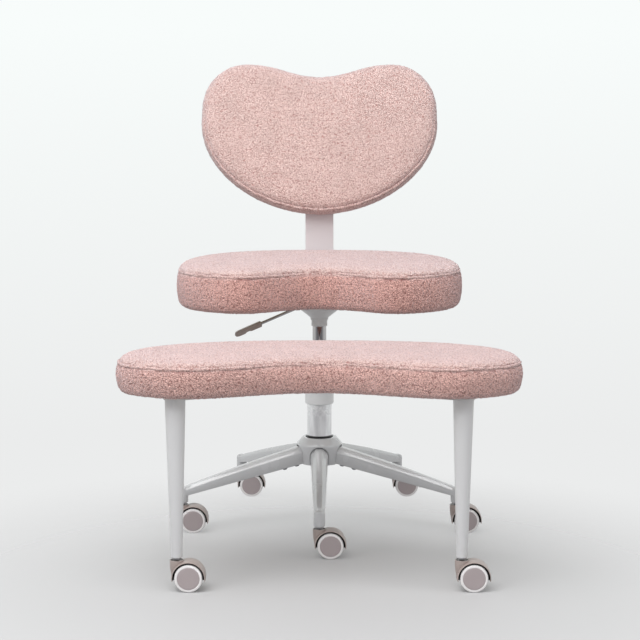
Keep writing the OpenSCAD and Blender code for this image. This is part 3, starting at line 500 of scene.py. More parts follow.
# %% [markdown]
# Cushions. Each is a foam pad on a plywood board, cut to a bean-shaped outline, with the cloth
# sewn from a top panel and a side band. The foam pushes the panels out between the seams, so the
# shape comes from a simulation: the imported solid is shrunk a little, remeshed to even squares,
# and blown up from inside while its seam and its underside are held. It could be sculpted by
# hand, but pressure gives the slack and the fullness where real cloth has them.

# %% Outlines of the three cushions
OUTLINE_STEPS = 720
BAR_Y, BEND_Z, RECLINE = 242.5, 611, 15
BACK_UP = 189
NEVER = -999

# outline: half width, centre, reach and roundness of the full side and of the hollow side, and
# the hollow's depth and half width; seam: how far in and how high; roll: how much rounder the rim
# of the face is than the foam; shade: share of the deeper, painted-shade tone on the face and on the
# side band; lobe: how much fuller the foam is at its lobes; closed: the Y where the pile covers the
# seam; place: where the underside lies; in millimetres, in the cushion's own frame
CUSHIONS = {
    "seat": dict(
        outline=(281, -33, 266, 2.55, 183, 2.5, 96, 170), seam=(1, 71), roll=0, shade=(0.2, 1.0),
        lobe=0, closed=NEVER, body="seat", place=shift(0, 0, 451)),
    "platform": dict(
        outline=(357, -463, 195, 2.4, 128, 2.4, 90, 279), seam=(1, 52.5), roll=0, shade=(0.33, 0.85),
        lobe=0, closed=NEVER, body="platform", place=shift(0, 0, 350)),
    "back": dict(
        outline=(249, 0, 190, 1.9, 136, 3.3, 36, 165), seam=(2, 49), roll=3, shade=(0.27, 0.2),
        lobe=6, closed=-30, body="seat",
        place=shift(0, BAR_Y, BEND_Z) @ turn(90 - RECLINE, "X") @ shift(0, BACK_UP, 1) @ turn(180, "Z")),
}


def outline(shape, draw_in, steps=OUTLINE_STEPS):
    """The bean-shaped outline, drawn in by a distance, as evenly spaced points in millimetres."""
    half, centre, full, full_e, hollow, hollow_e, depth, depth_half = shape
    a = np.linspace(0, FULL_TURN, 12 * steps + 1)
    rear = np.sin(a) >= 0
    power = np.where(rear, full_e, hollow_e)
    x = (half - draw_in) * np.cos(a)
    bow = np.clip(1 - np.abs(np.cos(a)) ** power, 0, 1) ** (1 / power)
    y = centre + np.where(rear, full - draw_in, draw_in - hollow) * bow
    dent = ~rear & (np.abs(x) < depth_half)
    y += np.where(dent, depth * (1 + np.cos(np.pi * x / depth_half)) / 2, 0)
    way = np.append(0, np.cumsum(np.hypot(np.diff(x), np.diff(y))))
    even = np.linspace(0, way[-1], steps, endpoint=False)
    return np.stack([np.interp(even, way, x), np.interp(even, way, y)], axis=1)


LOBE_AT_MM, LOBE_HALF_MM = 192, 42
LOBE_FROM_MM, LOBE_BLEND_MM = 20, 60
CLOSED_SHARE, CLOSING_MM = 0.15, 80


def fuller(cushion, inner):
    """How far the foam at the lobes pushes each point away from the middle, in millimetres."""
    across = np.exp(-((np.abs(inner[:, 0]) - LOBE_AT_MM) / LOBE_HALF_MM) ** 2)
    return -cushion["lobe"] * across * np.clip((-inner[:, 1] - LOBE_FROM_MM) / LOBE_BLEND_MM, 0, 1)


def seam_shows(cushion, inner):
    """1 where the seam lies open, less where the pile closes over it."""
    opened = CLOSED_SHARE + (1 - CLOSED_SHARE) * (inner[:, 1] - cushion["closed"]) / CLOSING_MM
    return np.clip(opened, CLOSED_SHARE, 1)


CHUNK = 4000


def depth_inside(points, edge):
    """How far each point lies inside the outline, in millimetres; outside is negative."""
    after = np.roll(edge, -1, axis=0)
    normal = np.stack([after[:, 1] - edge[:, 1], edge[:, 0] - after[:, 0]], axis=1)
    normal /= np.linalg.norm(normal, axis=1)[:, None]
    result = np.empty(len(points))
    for start in range(0, len(points), CHUNK):
        gap = points[start:start + CHUNK, None] - edge[None]
        nearest = (gap ** 2).sum(2).argmin(1)
        rows = np.arange(len(nearest))
        away = gap[rows, nearest]
        distance = np.linalg.norm(away, axis=1)
        outside = (away * normal[nearest]).sum(1) > 0
        result[start:start + CHUNK] = np.where(outside, -distance, distance)
    return result


def coordinates(mesh):
    """The places of a mesh's vertices as an array, in metres."""
    flat = np.empty(len(mesh.vertices) * 3)
    mesh.vertices.foreach_get("co", flat)
    return flat.reshape(-1, 3)


def local(points, place):
    """Points in metres carried into the cushion's own frame, in millimetres."""
    back = np.array(place.inverted())
    return (points @ back[:3, :3].T + back[:3, 3]) / MM


print("outline points per cushion:", OUTLINE_STEPS)

# %% [markdown]
# The simulation itself. Cloth with pressure and no gravity runs for twenty frames, and every
# point's move is capped, so the pad cannot grow past its seat. Where the cloth pulled itself flat
# instead, over the side bands, the foam behind fills it again to the shape it was cut to; only the
# seam stays drawn in. One subdivision later gives squares of 2.5 mm, which carry the large curls.

# %% Swell the cushions
PULL_IN_MM = 3.5
PAST_FOAM_MM = 0.5
CAP_MM = PULL_IN_MM + 1
VOXEL_MM = 5
PRESSURE = 4
CLOTH_QUALITY = 5
SETTLE_FRAMES = 20
SEAM_HELD = 0.85
SEAM_DRAWN_IN = 0.4


def shrunk_and_remeshed(name):
    """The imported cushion, drawn in along its normals and rebuilt from even squares."""
    bm = bmesh.new()
    bm.from_mesh(nodes[name + "_cushion"].data)
    tidied(bm)
    bm.normal_update()
    for vert in bm.verts:
        vert.co -= vert.normal * PULL_IN_MM * MM
    made = as_object(bm, name + "_form")
    remesh = made.modifiers.new("even squares", "REMESH")
    remesh.mode, remesh.voxel_size = "VOXEL", VOXEL_MM * MM
    bm = evaluated(made)
    bmesh.ops.smooth_vert(bm, verts=bm.verts, factor=0.5, use_axis_x=True, use_axis_y=True, use_axis_z=True)
    return as_object(bm, name + "_cover")


def swell(made, held, fill_mm):
    """Blows the pad up with cloth, caps each move, and fills what stays short of its foam."""
    before = coordinates(made.data)
    bm = bmesh.new()
    bm.from_mesh(made.data)
    bm.normal_update()
    normals = np.array([v.normal for v in bm.verts])
    bm.free()
    moves = np.zeros_like(before)
    group = made.vertex_groups.new(name="held")
    for share in np.unique(held):
        group.add(np.nonzero(held == share)[0].tolist(), float(share), "REPLACE")
    cloth = made.modifiers.new("swell", "CLOTH")
    settings = cloth.settings
    settings.vertex_group_mass = "held"
    settings.use_pressure = True
    settings.uniform_pressure_force = PRESSURE
    settings.effector_weights.gravity = 0
    settings.quality = CLOTH_QUALITY
    cloth.point_cache.frame_start, cloth.point_cache.frame_end = 1, SETTLE_FRAMES
    for frame_number in range(1, SETTLE_FRAMES + 1):
        scene.frame_set(frame_number)
    swollen = made.evaluated_get(bpy.context.evaluated_depsgraph_get())
    moves = coordinates(swollen.data) - before
    made.modifiers.clear()
    made.vertex_groups.clear()
    scene.frame_set(1)
    length = np.linalg.norm(moves, axis=1)
    moves *= np.minimum(1, CAP_MM * MM / np.maximum(length, 1e-9))[:, None]
    short = fill_mm * MM - (moves * normals).sum(1)
    moves += normals * np.maximum(0, short)[:, None]
    made.data.vertices.foreach_set("co", (before + moves).ravel())
    made.data.update()
    return length.max() / MM


covers = {}
for name, cushion in CUSHIONS.items():
    cover = shrunk_and_remeshed(name)
    inner = local(coordinates(cover.data), cushion["place"])
    depth = depth_inside(inner[:, :2], outline(cushion["outline"], 0))
    near_seam = (np.abs(inner[:, 2] - cushion["seam"][1]) < VOXEL_MM * 0.7) & (depth < 2 * VOXEL_MM)
    underside = (inner[:, 2] < 2 * VOXEL_MM) & (depth > 3 * VOXEL_MM)
    held = np.where(underside, 1.0, np.where(near_seam, SEAM_HELD, 0.0))
    fill = (1 - SEAM_DRAWN_IN * near_seam * seam_shows(cushion, inner)) * (PULL_IN_MM + PAST_FOAM_MM)
    swelled = swell(cover, held, fill)
    covers[name] = cover
    print(name, "squares", len(cover.data.polygons), "largest free move", round(swelled, 1), "mm")

# %% [markdown]
# Seams and curls. A voxel mesh cannot hold a seam, so the groove where the top panel meets the
# side band is pressed in afterwards, by distance from the outline, with small puckers where the
# thread pulls. The curls of the pile are the tops of a field of cells, a few tenths of a
# millimetre high at the grid's own scale.

# %% Press in the seams and raise the pile
GROOVE_MM, GROOVE_HALF_MM, GROOVE_ENDS_MM = 1.3, 4.5, 0.02
PUCKER_SHARE, PUCKER_MM = 0.9, 16
CREASE_MM, CREASE_HALF_MM = 3.6, 1.5
PATCH_MM, PATCH_LEVEL, PATCH_SWING = 9, 0.35, 0.9
ROLL_REACH_MM, ROLL_BELOW_MM, ROLL_BLEND_MM = 36, 8, 12
SHADE_BLEND_MM = 6
PILE_MM = 2.0


def curl(place, size_mm):
    """Height of the pile at a point, 0 in a pit and about 1 on top of a curl."""
    nearest = noise.voronoi(place / (size_mm * MM))[0][0]
    return max(0.0, 1 - nearest)


def raise_pile(bm, height_mm):
    """Moves every vertex out or in by the pile's height there."""
    bm.normal_update()
    for vert in bm.verts:
        vert.co += vert.normal * (curl(vert.co, CURL_MM) - 0.5) * height_mm * MM


for name, cushion in CUSHIONS.items():
    cover = covers[name]
    fine = cover.modifiers.new("fine", "SUBSURF")
    fine.levels = fine.render_levels = 1
    bm = evaluated(cover)
    bm.normal_update()
    bm.verts.ensure_lookup_table()
    inner = local(np.array([v.co for v in bm.verts]), cushion["place"])
    depth = depth_inside(inner[:, :2], outline(cushion["outline"], 0))
    seam_in, seam_height = cushion["seam"]
    outwards, upwards = (Vector(np.array(cushion["place"])[:3, axis]) for axis in (1, 2))
    rim = np.clip(1 - depth / ROLL_REACH_MM, 0, 1) ** 2
    rim *= np.clip((inner[:, 2] - seam_height + ROLL_BELOW_MM) / ROLL_BLEND_MM, 0, 1)
    inner[:, 2] -= cushion["roll"] * rim
    for vert, drop in zip(bm.verts, cushion["roll"] * rim):
        vert.co -= upwards * drop * MM
    shows = seam_shows(cushion, inner)
    reach = np.hypot(depth - seam_in, inner[:, 2] - seam_height)
    press = GROOVE_MM * shows * np.exp(-(reach / GROOVE_HALF_MM) ** 2)
    for i in np.nonzero(press > GROOVE_ENDS_MM)[0]:
        vert = bm.verts[i]
        pucker = 1 + PUCKER_SHARE * noise.noise(vert.co * per_metre(PUCKER_MM))
        vert.co -= vert.normal * press[i] * pucker * MM
    # painted shade: the side band below the seam gets a deeper, darker tone than the face, blended over
    # SHADE_BLEND_MM
    band = bm.verts.layers.float.new("side_band_shade")
    # painted shade: patchy dark lines either side of the seam, for the shadow in the stitched crease
    seam_crease_shade = bm.verts.layers.float.new("seam_crease_shade")
    face_shade, band_shade = cushion["shade"]
    for vert, below, away, open_share, push in zip(
            bm.verts, seam_height - inner[:, 2], reach, shows, fuller(cushion, inner)):
        vert[band] = face_shade + (band_shade - face_shade) * min(1.0, max(0.0, below / SHADE_BLEND_MM))
        patchy = PATCH_LEVEL + PATCH_SWING * noise.noise(vert.co * per_metre(PATCH_MM))
        line = math.exp(-((away - CREASE_MM) / CREASE_HALF_MM) ** 2)
        vert[seam_crease_shade] = max(0.0, patchy) * open_share * line
        vert.co += outwards * push * MM
    raise_pile(bm, PILE_MM)
    covers[name] = piece(name + "_cover", bm, cushion["body"], boucle,
                         [name + "_cushion"], sharp=180)
    print(name, "cover triangles", 2 * len(covers[name].data.polygons))

# %% [markdown]
# Welts. A cord wrapped in the same cloth is sewn into each seam, and reads as a soft ridge
# between two dark lines. A curve with a round bevel is the natural way to sweep a cord; it is
# made a mesh at once, so that the pile can be raised on it too. Its sway is vector noise, which
# starts from the clock unless it is given a seed.

# %% Welts in the seams
WELT_STEPS = 900
WELT_RADIUS_MM = 3.0
WELT_HIDDEN_MM = 2.5
# painted shade: the share of the way from the face's tone to the side band's deeper tone that the cord
# takes
WELT_SHADE = 0.25
SWAY_MM, SWAY_LENGTH_MM, SWAY_SEED = 1.5, 20, 7
noise.seed_set(SWAY_SEED)

# how far the cord lies inside the seam, and how far below it
WELT_SUNK_MM = {"seat": (2.6, -0.4), "platform": (2.6, -0.4), "back": (2.0, 2.0)}


def welt(name, cushion, draw_in, height):
    """A cord along the outline, a little uneven, as a mesh with the pile raised on it."""
    path = bpy.data.curves.new(name, "CURVE")
    path.dimensions = "3D"
    path.bevel_depth = WELT_RADIUS_MM * MM
    path.bevel_resolution = 4
    line = path.splines.new("POLY")
    spots = outline(cushion["outline"], draw_in, WELT_STEPS)
    deeper = outline(cushion["outline"], draw_in + WELT_HIDDEN_MM, WELT_STEPS)
    shows = seam_shows(cushion, spots)[:, None]
    spots = spots * shows + deeper * (1 - shows)
    spots[:, 1] += fuller(cushion, spots)
    line.points.add(len(spots) - 1)
    for point, (x, y) in zip(line.points, spots):
        spot = cushion["place"] @ at(x, y, height)
        sway = noise.noise_vector(spot * per_metre(SWAY_LENGTH_MM)) * SWAY_MM * MM
        point.co = (*(spot + sway), 1)
    line.use_cyclic_u = True
    swept = bpy.data.objects.new(name + "_path", path)
    scene.collection.objects.link(swept)
    bm = tidied(evaluated(swept))
    band = bm.verts.layers.float.new("side_band_shade")
    face_shade, band_shade = cushion["shade"]
    for vert in bm.verts:
        vert[band] = face_shade + WELT_SHADE * (band_shade - face_shade)
    raise_pile(bm, PILE_MM)
    return bm


for name, cushion in CUSHIONS.items():
    seam_in, seam_height = cushion["seam"]
    inwards, below = WELT_SUNK_MM[name]
    bm = welt(name, cushion, seam_in + inwards, seam_height - below)
    made = piece(name + "_welt", bm, cushion["body"], boucle, sharp=180)
    print(made.name, "triangles", 2 * len(made.data.polygons))

# %% [markdown]
# The hub. It is one die casting, enamelled: a truncated cone with a rounded shoulder, open round
# the column, with an arched mouth for each arm. The cone is turned, and the five mouths are cut
# with a tool slightly wider than the arms, which leaves the dark line round each.

# %% Hub
HUB_R, HUB_LOW = 46.5, 124
ARM_COUNT = 5
ARMS = range(1, ARM_COUNT + 1)
ARM_ROOT_R, ARM_TIP_R = 40, 287
ARM_ROOT = dict(width=37, low=125.4, high=161.4)
ARM_TIP = dict(width=21, low=73.5, high=91.5)
ARM_CROWN = 2.5
ARCH_STEPS = 10
MOUTH_GAP = 0.9
MOUTH_LOW, MOUTH_LENGTH = 110, 30


def arch(width, low, high, r):
    """Straight sides under a round top, as a ring of vertices at radius r."""
    bm = bmesh.new()
    side = [bm.verts.new(at(r, s * width / 2, z)) for s, z in ((-1, low), (1, low))]
    centre_z = high - width / 2
    top = [bm.verts.new(at(r, s * width / 2, centre_z)) for s in (1, -1)]
    bm.edges.new((side[0], side[1]))
    bm.edges.new((side[1], top[0]))
    bm.edges.new((side[0], top[1]))
    bmesh.ops.spin(bm, geom=[top[0]], cent=at(r, 0, centre_z), axis=(1, 0, 0), angle=math.pi,
                   steps=ARCH_STEPS)
    bmesh.ops.remove_doubles(bm, verts=bm.verts, dist=1e-6)
    return bm


def arm_bearing(i):
    """The direction in which arm i points, in degrees, the first to the front."""
    return -90 - (i - 1) * 360 / ARM_COUNT


def mouth(i):
    """The tool that cuts the mouth of arm i, a gap wider than the arm."""
    bm = arch(ARM_ROOT["width"] + 2 * MOUTH_GAP, MOUTH_LOW, ARM_ROOT["high"] + MOUTH_GAP,
              ARM_ROOT_R - MOUTH_GAP)
    ring = bmesh.ops.contextual_create(bm, geom=bm.edges[:])["faces"]
    return moved(pulled(bm, ring, MOUTH_LENGTH, 0, 0), turn(arm_bearing(i), "Z"))


hub = turned([(25.1, HUB_LOW, 0), (45, HUB_LOW, 1.5), (HUB_R, 163.5, 3), (34, 177, 1.4), (28, 177, 0.9),
              (28, 172, 0), (25.1, 172, 0)], steps=120)
hub = combined(hub, gathered(mouth(i) for i in ARMS), "DIFFERENCE")
hub = piece("hub_casting", hub, "base", gloss_enamel, ["base_hub"])
print("hub faces", len(hub.data.polygons))

# %% [markdown]
# The arms. Each is a pressing with a flat underside, upright sides and a bevelled top, tapering
# from the hub to a socket at its tip. The section is drawn once at the root and then extruded
# step by step, scaled and lowered each time, which keeps the taper even; the socket is turned
# and joined on.

# %% Arms
ARM_STEPS = 14
# how far out, in half widths; how far below the top, in half widths, or None for the underside;
# and the rounding in millimetres
ARM_CORNERS = [(1, None, 2.0), (1, 1, 3.0), (0.94, 0.66, 1.5), (0.42, 0.1, 2.5)]


def arm_ring(width, low, high, r):
    """The arm's section at radius r, its corners rounded, as a ring of vertices."""
    spots = [(r, s * x * width / 2, low if z is None else high - z * width / 2, cut)
             for s, half in ((1, ARM_CORNERS), (-1, ARM_CORNERS[::-1])) for x, z, cut in half]
    return rounded_line(spots, True, 3)


def arm_section(share):
    """Width, underside and top of the arm, as its length goes from 0 at the hub to 1 at the tip."""
    def blend(key):
        return ARM_ROOT[key] + (ARM_TIP[key] - ARM_ROOT[key]) * share
    return blend("width"), blend("low"), blend("high") + ARM_CROWN * 4 * share * (1 - share)


def arm_body():
    """The tapering pressing along +X."""
    width, low, high = arm_section(0)
    bm = arm_ring(width, low, high, ARM_ROOT_R)
    bmesh.ops.contextual_create(bm, geom=bm.edges[:])
    ring = bm.edges[:]
    for step in range(1, ARM_STEPS + 1):
        share = step / ARM_STEPS
        new_width, new_low, new_high = arm_section(share)
        grown = bmesh.ops.extrude_edge_only(bm, edges=ring)["geom"]
        ring = [g for g in grown if isinstance(g, bmesh.types.BMEdge)]
        for vert in verts_of(grown):
            x, y, z = vert.co / MM
            lift = min(1, max(0, (z - low) / (high - width / 2 - low)))
            if z > high - width / 2:
                z = new_high - new_width / 2 + (z - high + width / 2) * new_width / width
            else:
                z = new_low + (new_high - new_width / 2 - new_low) * lift
            vert.co = at(ARM_ROOT_R + (ARM_TIP_R - ARM_ROOT_R) * share, y * new_width / width, z)
        width, low, high = new_width, new_low, new_high
    bmesh.ops.contextual_create(bm, geom=ring)
    return tidied(bm)


socket = moved(turned([(0, 60.6, 0), (10.4, 60.6, 0.8), (11, 66, 0), (11, 85, 0), (9.6, 90, 3),
                       (0, 92.1, 0)], steps=64, closed=False), shift(ARM_TIP_R, 0, 0))
arm = combined(arm_body(), socket, "UNION")
for i in ARMS:
    piece(f"arm_pressing_{i}", moved(arm.copy(), turn(arm_bearing(i), "Z")), "base", gloss_enamel,
          [f"base_arm_{i}"])
arm.free()

# %% [markdown]
# Casters. A furniture caster is a moulded nylon hood over two wheels that share an axle, with a
# steel stem in a boss. The hood is turned as a barrel, cut level below the axle, joined to the
# boss and hollowed by the two wheel wells, and its rims are rounded.

# %% Caster shapes
TRAIL = 21
AXLE_Z = 25
HOOD_HALF_W = 17.8
HOOD_CUT_BELOW = 4.7
WELL_R = 28.3
WEB_HALF_W = 6
SOCKET_R, SOCKET_LOW = 11, 53.6
BORE_R, BORE_LOW = 4.06, 31.5
TOOL_END, TOOL_TOP = 40, 60
ON_AXLE = shift(TRAIL, 0, AXLE_Z) @ turn(90, "X")
CASTERS = [f"base_caster_{i}" for i in ARMS] + ["leg_caster_1", "leg_caster_2"]


def drum(radius, low, high, steps):
    """A plain drum about Z, as a tool for cutting and joining."""
    return turned([(0, low, 0), (radius, low, 0), (radius, high, 0), (0, high, 0)], steps, closed=False)


def hood_shape():
    """The hood round a stem at the origin, trailing along +X."""
    bm = moved(turned([(0, -HOOD_HALF_W, 0), (29.5, -HOOD_HALF_W, 0.7), (30.3, -8.9, 6), (30.3, 8.9, 6),
                       (29.5, HOOD_HALF_W, 0.7), (0, HOOD_HALF_W, 0)], 128, closed=False), ON_AXLE)
    bmesh.ops.bisect_plane(bm, geom=bm.verts[:] + bm.edges[:] + bm.faces[:],
                           plane_co=at(0, 0, AXLE_Z - HOOD_CUT_BELOW), plane_no=(0, 0, -1),
                           clear_outer=True)
    bmesh.ops.contextual_create(bm, geom=[e for e in bm.edges if e.is_boundary])
    tidied(bm)
    boss = turned([(0, 20.3, 0), (8.6, 20.3, 0), (12.25, 42, 6), (12.25, 55.6, 0.5), (0, 55.6, 0)], 64,
                  closed=False)
    bm = combined(bm, boss, "UNION")
    for side in (-1, 1):
        low, high = sorted((side * WEB_HALF_W, side * TOOL_END))
        bm = combined(bm, moved(drum(WELL_R, low, high, 128), ON_AXLE), "DIFFERENCE")
    bm = combined(bm, drum(SOCKET_R, SOCKET_LOW, TOOL_TOP, 64), "DIFFERENCE")
    bm = combined(bm, drum(BORE_R, BORE_LOW, TOOL_TOP, 32), "DIFFERENCE")
    bmesh.ops.remove_doubles(bm, verts=bm.verts, dist=2e-5)
    rims = [e for e in sharp_edges(bm) if min(abs(v.co.y) for v in e.verts) > (HOOD_HALF_W - 0.3) * MM]
    round_edges(bm, rims, 0.5, 2)
    # painted shade: 1 on the walls of the wheel wells, which the hood's material paints near black
    dark = bm.faces.layers.float.new("well")
    for face in bm.faces:
        middle = face.calc_center_median() - at(TRAIL, 0, AXLE_Z)
        in_drum = math.hypot(middle.x, middle.z) < (WELL_R + 0.02) * MM
        face[dark] = float(in_drum and abs(middle.y) > (WEB_HALF_W - 0.1) * MM)
    return bm


def both(profile, closed):
    """A turned piece on both sides of a caster, as one mesh."""
    return gathered(tidied(moved(turned(profile, 96, closed), ON_AXLE @ Matrix.Diagonal((1, 1, side, 1))))
                    for side in (-1, 1))


# a disc with a shallow dish and a rounded rim, and the soft tread round it
DISC = [(3.06, 6.8, 0), (6, 6.8, 0), (6, 14.8, 0), (17, 14.8, 0), (17, 6.8, 0), (20, 6.8, 0),
        (20, 17.5, 0.8), (17.5, 17.9, 1.5), (0, 17.4, 0), (0, 14.8, 0), (3.06, 14.8, 0)]
TREAD = [(20.1, 6.8, 0), (24.2, 6.8, 1.5), (25, 12, 0), (24.6, 17.4, 2.2), (20.1, 17.4, 0.4)]
CASTER_PIECES = (
    ("_shell", hood_shape(), "_fork", hood_nylon, "hood_plastic", "_hood"),
    ("_discs", both(DISC, closed=False), "_wheelset", disc_nylon, "wheel_plastic", "_wheels"),
    ("_treads", both(TREAD, closed=True), "_wheelset", tyre_rubber, "tyre_white", "_tyres"))
for caster in CASTERS:
    stem = anchors[caster + "_swivel"]
    for end, shape, body, finish, slot, solid in CASTER_PIECES:
        bm = moved(shape.copy(), shift(stem.x, stem.y, 0))
        piece(caster + end, bm, caster + body, finish, [caster + solid])
print("casters", len(CASTERS), "pieces in each", len(CASTER_PIECES))

# %% [markdown]
# The collar, the legs and the mechanism are turned pieces with rounded ends. Each leg takes its
# place and its top radius from the solid that it stands for.

# %% Collar, legs and mechanism
collar = turned([(25.06, 245, 0.4), (29, 245, 3), (29, 349, 0), (33, 349, 0.6),
                 (33, 352, 1), (25.06, 352, 0.5)])
piece("collar_sleeve", collar, "platform", collar_nylon, ["platform_collar"])
for name in ("platform_leg_left", "platform_leg_right"):
    low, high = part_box(name)
    centre = (low + high) / 2 / MM
    top_r = (high.x - low.x) / 2 / MM
    leg = turned([(5.6, 60.6, 0.3), (10, 60.6, 0.9), (top_r, 344, 0), (5.6, 344, 0)])
    piece(name + "_tube", moved(leg, shift(centre.x, centre.y, 0)), "platform", powder_coat,
          [name])
housing = turned([(0, 447, 0), (30, 447, 0), (30, 434, 0), (14.1, 434, 0), (14.1, 404, 0.3), (16, 404, 0.8),
                  (16, 416.4, 0.4), (18, 416.8, 0.7), (18, 421, 1), (22, 424.5, 3), (33, 433, 6),
                  (40, 438.5, 3), (40, 445, 1), (75, 445, 1.2), (75, 450, 0.8), (0, 450, 0)], closed=False)
housing = combined(housing, block((-40, 0, 441.25), (80, 9, 14.5)), "DIFFERENCE")
for side in (-1, 1):
    housing = combined(housing, block((-24, side * 7.6, 440.4), (8, 6.4, 13)), "UNION")
piece("mechanism_housing", housing, "seat", powder_coat, ["seat_mechanism"])
print("legs, collar and mechanism made")

# %% [markdown]
# The paddle is a moulded grip pushed on the lever. Its side is drawn as one face with a finger
# notch below, pulled out to the grip's width and rounded all over, then bored for the rod.

# %% Lever paddle
PADDLE_START, PADDLE_L, PADDLE_W = 84.7, 58, 20
LEVER_PIVOT, LEVER_SLOPE = (-40, 0, 442.5), -23.5


def paddle_shape():
    """The grip along the sloping lever, from its side face."""
    end = PADDLE_START + PADDLE_L
    bm = bmesh.new()
    side = [(-PADDLE_START, -6), (-PADDLE_START, 5), (-end + 9, 5), (-end + 2.5, 4), (-end, 0),
            (-end + 2, -4.6), (-end + 8, -6), (-end + 21, -6), (-end + 25, -4.2), (-end + 31, -4.2),
            (-end + 35, -6)]
    face = bm.faces.new([bm.verts.new(at(x, -PADDLE_W / 2, z)) for x, z in side])
    pulled(bm, [face], 0, PADDLE_W, 0)
    round_edges(bm, sharp_edges(bm, 60), 2.0, 4)
    bore = moved(drum(3.05, 0, 120, 32), turn(-90, "Y"))
    return moved(combined(bm, bore, "DIFFERENCE"), shift(*LEVER_PIVOT) @ turn(LEVER_SLOPE, "Y"))


piece("paddle_grip", paddle_shape(), "lever", hood_nylon, ["lever_paddle"])
print("paddle", PADDLE_L, "x", PADDLE_W, "mm")

# %% [markdown]
# The boards and the rear panel are flat sheets cut to the cushions' outlines. Extruding the
# outline and rounding its two rims gives the small radius that a router or a mould leaves.

# %% Boards and rear panel
BOARD_DRAW_IN, BOARD_STEPS = 25.5, 240
BOARDS = (("seat", 12, plywood, "plywood"), ("platform", 12, plywood, "plywood"),
          ("back", 8, collar_nylon, "collar_plastic"))


def board_shape(shape, thickness):
    """The outline, drawn in from the cushion's edge, as a plate standing on height 0."""
    bm = bmesh.new()
    face = bm.faces.new([bm.verts.new(at(x, y, 0)) for x, y in outline(shape, BOARD_DRAW_IN, BOARD_STEPS)])
    pulled(bm, [face], 0, 0, thickness)
    return round_edges(bm, sharp_edges(bm, 60), 0.8, 2)


for name, thickness, finish, slot_name in BOARDS:
    cushion = CUSHIONS[name]
    bm = moved(board_shape(cushion["outline"], thickness), cushion["place"] @ shift(0, 0, -1))
    piece(name + "_panel", bm, cushion["body"], finish, [name + "_board"])
print("boards drawn in by", BOARD_DRAW_IN, "mm")

# %% [markdown]
# The arms are held by button-head bolts from below, two in each. A button head is a low dome with
# a hexagon socket; turning it and sinking a six-sided tool into it gives both.

# %% Arm bolts
ARM_SLOPE = math.degrees(math.atan2(HUB_LOW - ARM_TIP["low"], ARM_TIP_R - HUB_R))
BOLT_PLACES = (2.5, 28.5)


def bolt_shape():
    """A bolt along +Z from the face under its head."""
    bm = turned([(0, -6, 0), (3.6, -6, 0.6), (5.5, -4, 1.2), (5.5, 0, 0.2), (3, 0, 0), (3, 18, 0.4),
                 (0, 18, 0)], 48, closed=False)
    return combined(bm, drum(2.3, -7, -3, 6), "DIFFERENCE")


def on_arm(i, along):
    """The place of a bolt on the underside of arm i."""
    return (turn(arm_bearing(i), "Z") @ shift(HUB_R, 0, HUB_LOW) @ turn(ARM_SLOPE, "Y")
            @ shift(along, 0, 0))


bolt = bolt_shape()
bolts = gathered(moved(bolt.copy(), on_arm(i, along)) for i in ARMS for along in BOLT_PLACES)
piece("arm_bolt_set", bolts, "base", zinc_plate, ["base_arm_bolts"])
print("bolts", ARM_COUNT * len(BOLT_PLACES))

# %% [markdown]
# The back bar is one flat steel strip, 60 mm wide, bent twice. Its side is drawn as a line and
# pulled across its width into a strip; the strip gets its thickness, the two top corners are
# rounded, and every long edge keeps the small radius that rolled flat steel has.

# %% Back bar
BAR_W, BAR_T, BAR_TOP_L = 60, 8, 190


def bar_shape():
    """The strip along its front and upper side, thickened to the rear and below."""
    lean = math.radians(RECLINE)
    line = [(80, 450, 0), (BAR_Y, 450, 26), (BAR_Y, BEND_Z, 7.9),
            (BAR_Y + BAR_TOP_L * math.sin(lean), BEND_Z + BAR_TOP_L * math.cos(lean), 0)]
    bm = rounded_line([(-BAR_W / 2, y, z, cut) for y, z, cut in line], False, 10)
    grown = bmesh.ops.extrude_edge_only(bm, edges=bm.edges[:])["geom"]
    bmesh.ops.translate(bm, vec=at(BAR_W, 0, 0), verts=verts_of(grown))
    top = max(v.co.z for v in bm.verts)
    round_corners(bm, [v for v in bm.verts if v.co.z > top - 1e-5], 12, 6)
    bmesh.ops.recalc_face_normals(bm, faces=bm.faces)
    front = next(f for f in bm.faces if abs(f.normal.y) > 0.9)
    if front.normal.y > 0:
        bmesh.ops.reverse_faces(bm, faces=bm.faces[:])
    made = as_object(bm, "strip")
    thick = made.modifiers.new("thick", "SOLIDIFY")
    thick.thickness, thick.offset, thick.use_even_offset = BAR_T * MM, -1, True
    bm = tidied(evaluated(made))
    return round_edges(bm, sharp_edges(bm, 50), 1.3, 3)


bar = piece("back_bar_strip", bar_shape(), "seat", bar_coat, ["back_bar"])
print("bar faces", len(bar.data.polygons))

# %% [markdown]
# The floor is a pale studio floor that fades into the backdrop: a disc whose edge turns
# transparent. The backdrop is the world itself, bright where the camera, a mirror or glass looks
# at it, and a plain soft light everywhere else.

# %% Floor, backdrop and lamps
FLOOR_R = 6
FADE_CENTRE, FADE_FROM, FADE_TO = (0, -0.55, 0), 0.08, 1.1


def floor_finish():
    """Matt grey paint in the middle, clear at the rim, so that no horizon line shows."""
    material, tree, shader, place = start_material("studio_floor", Roughness=0.6, Specular_IOR_Level=0.3)
    shader.inputs["Base Color"].default_value = srgb("#BCBCBD")
    reach = add(tree, "ShaderNodeVectorMath", {0: place, 1: FADE_CENTRE}, operation="DISTANCE")
    fade = add(tree, "ShaderNodeMapRange", {
        "Value": reach.outputs["Value"], "From Min": FADE_FROM, "From Max": FADE_TO},
        interpolation_type="SMOOTHSTEP")
    clear = add(tree, "ShaderNodeBsdfTransparent")
    mixed = add(tree, "ShaderNodeMixShader", {
        0: fade.outputs[0], 1: shader.outputs[0], 2: clear.outputs[0]})
    tree.links.new(mixed.outputs[0], tree.nodes["Material Output"].inputs["Surface"])
    return material


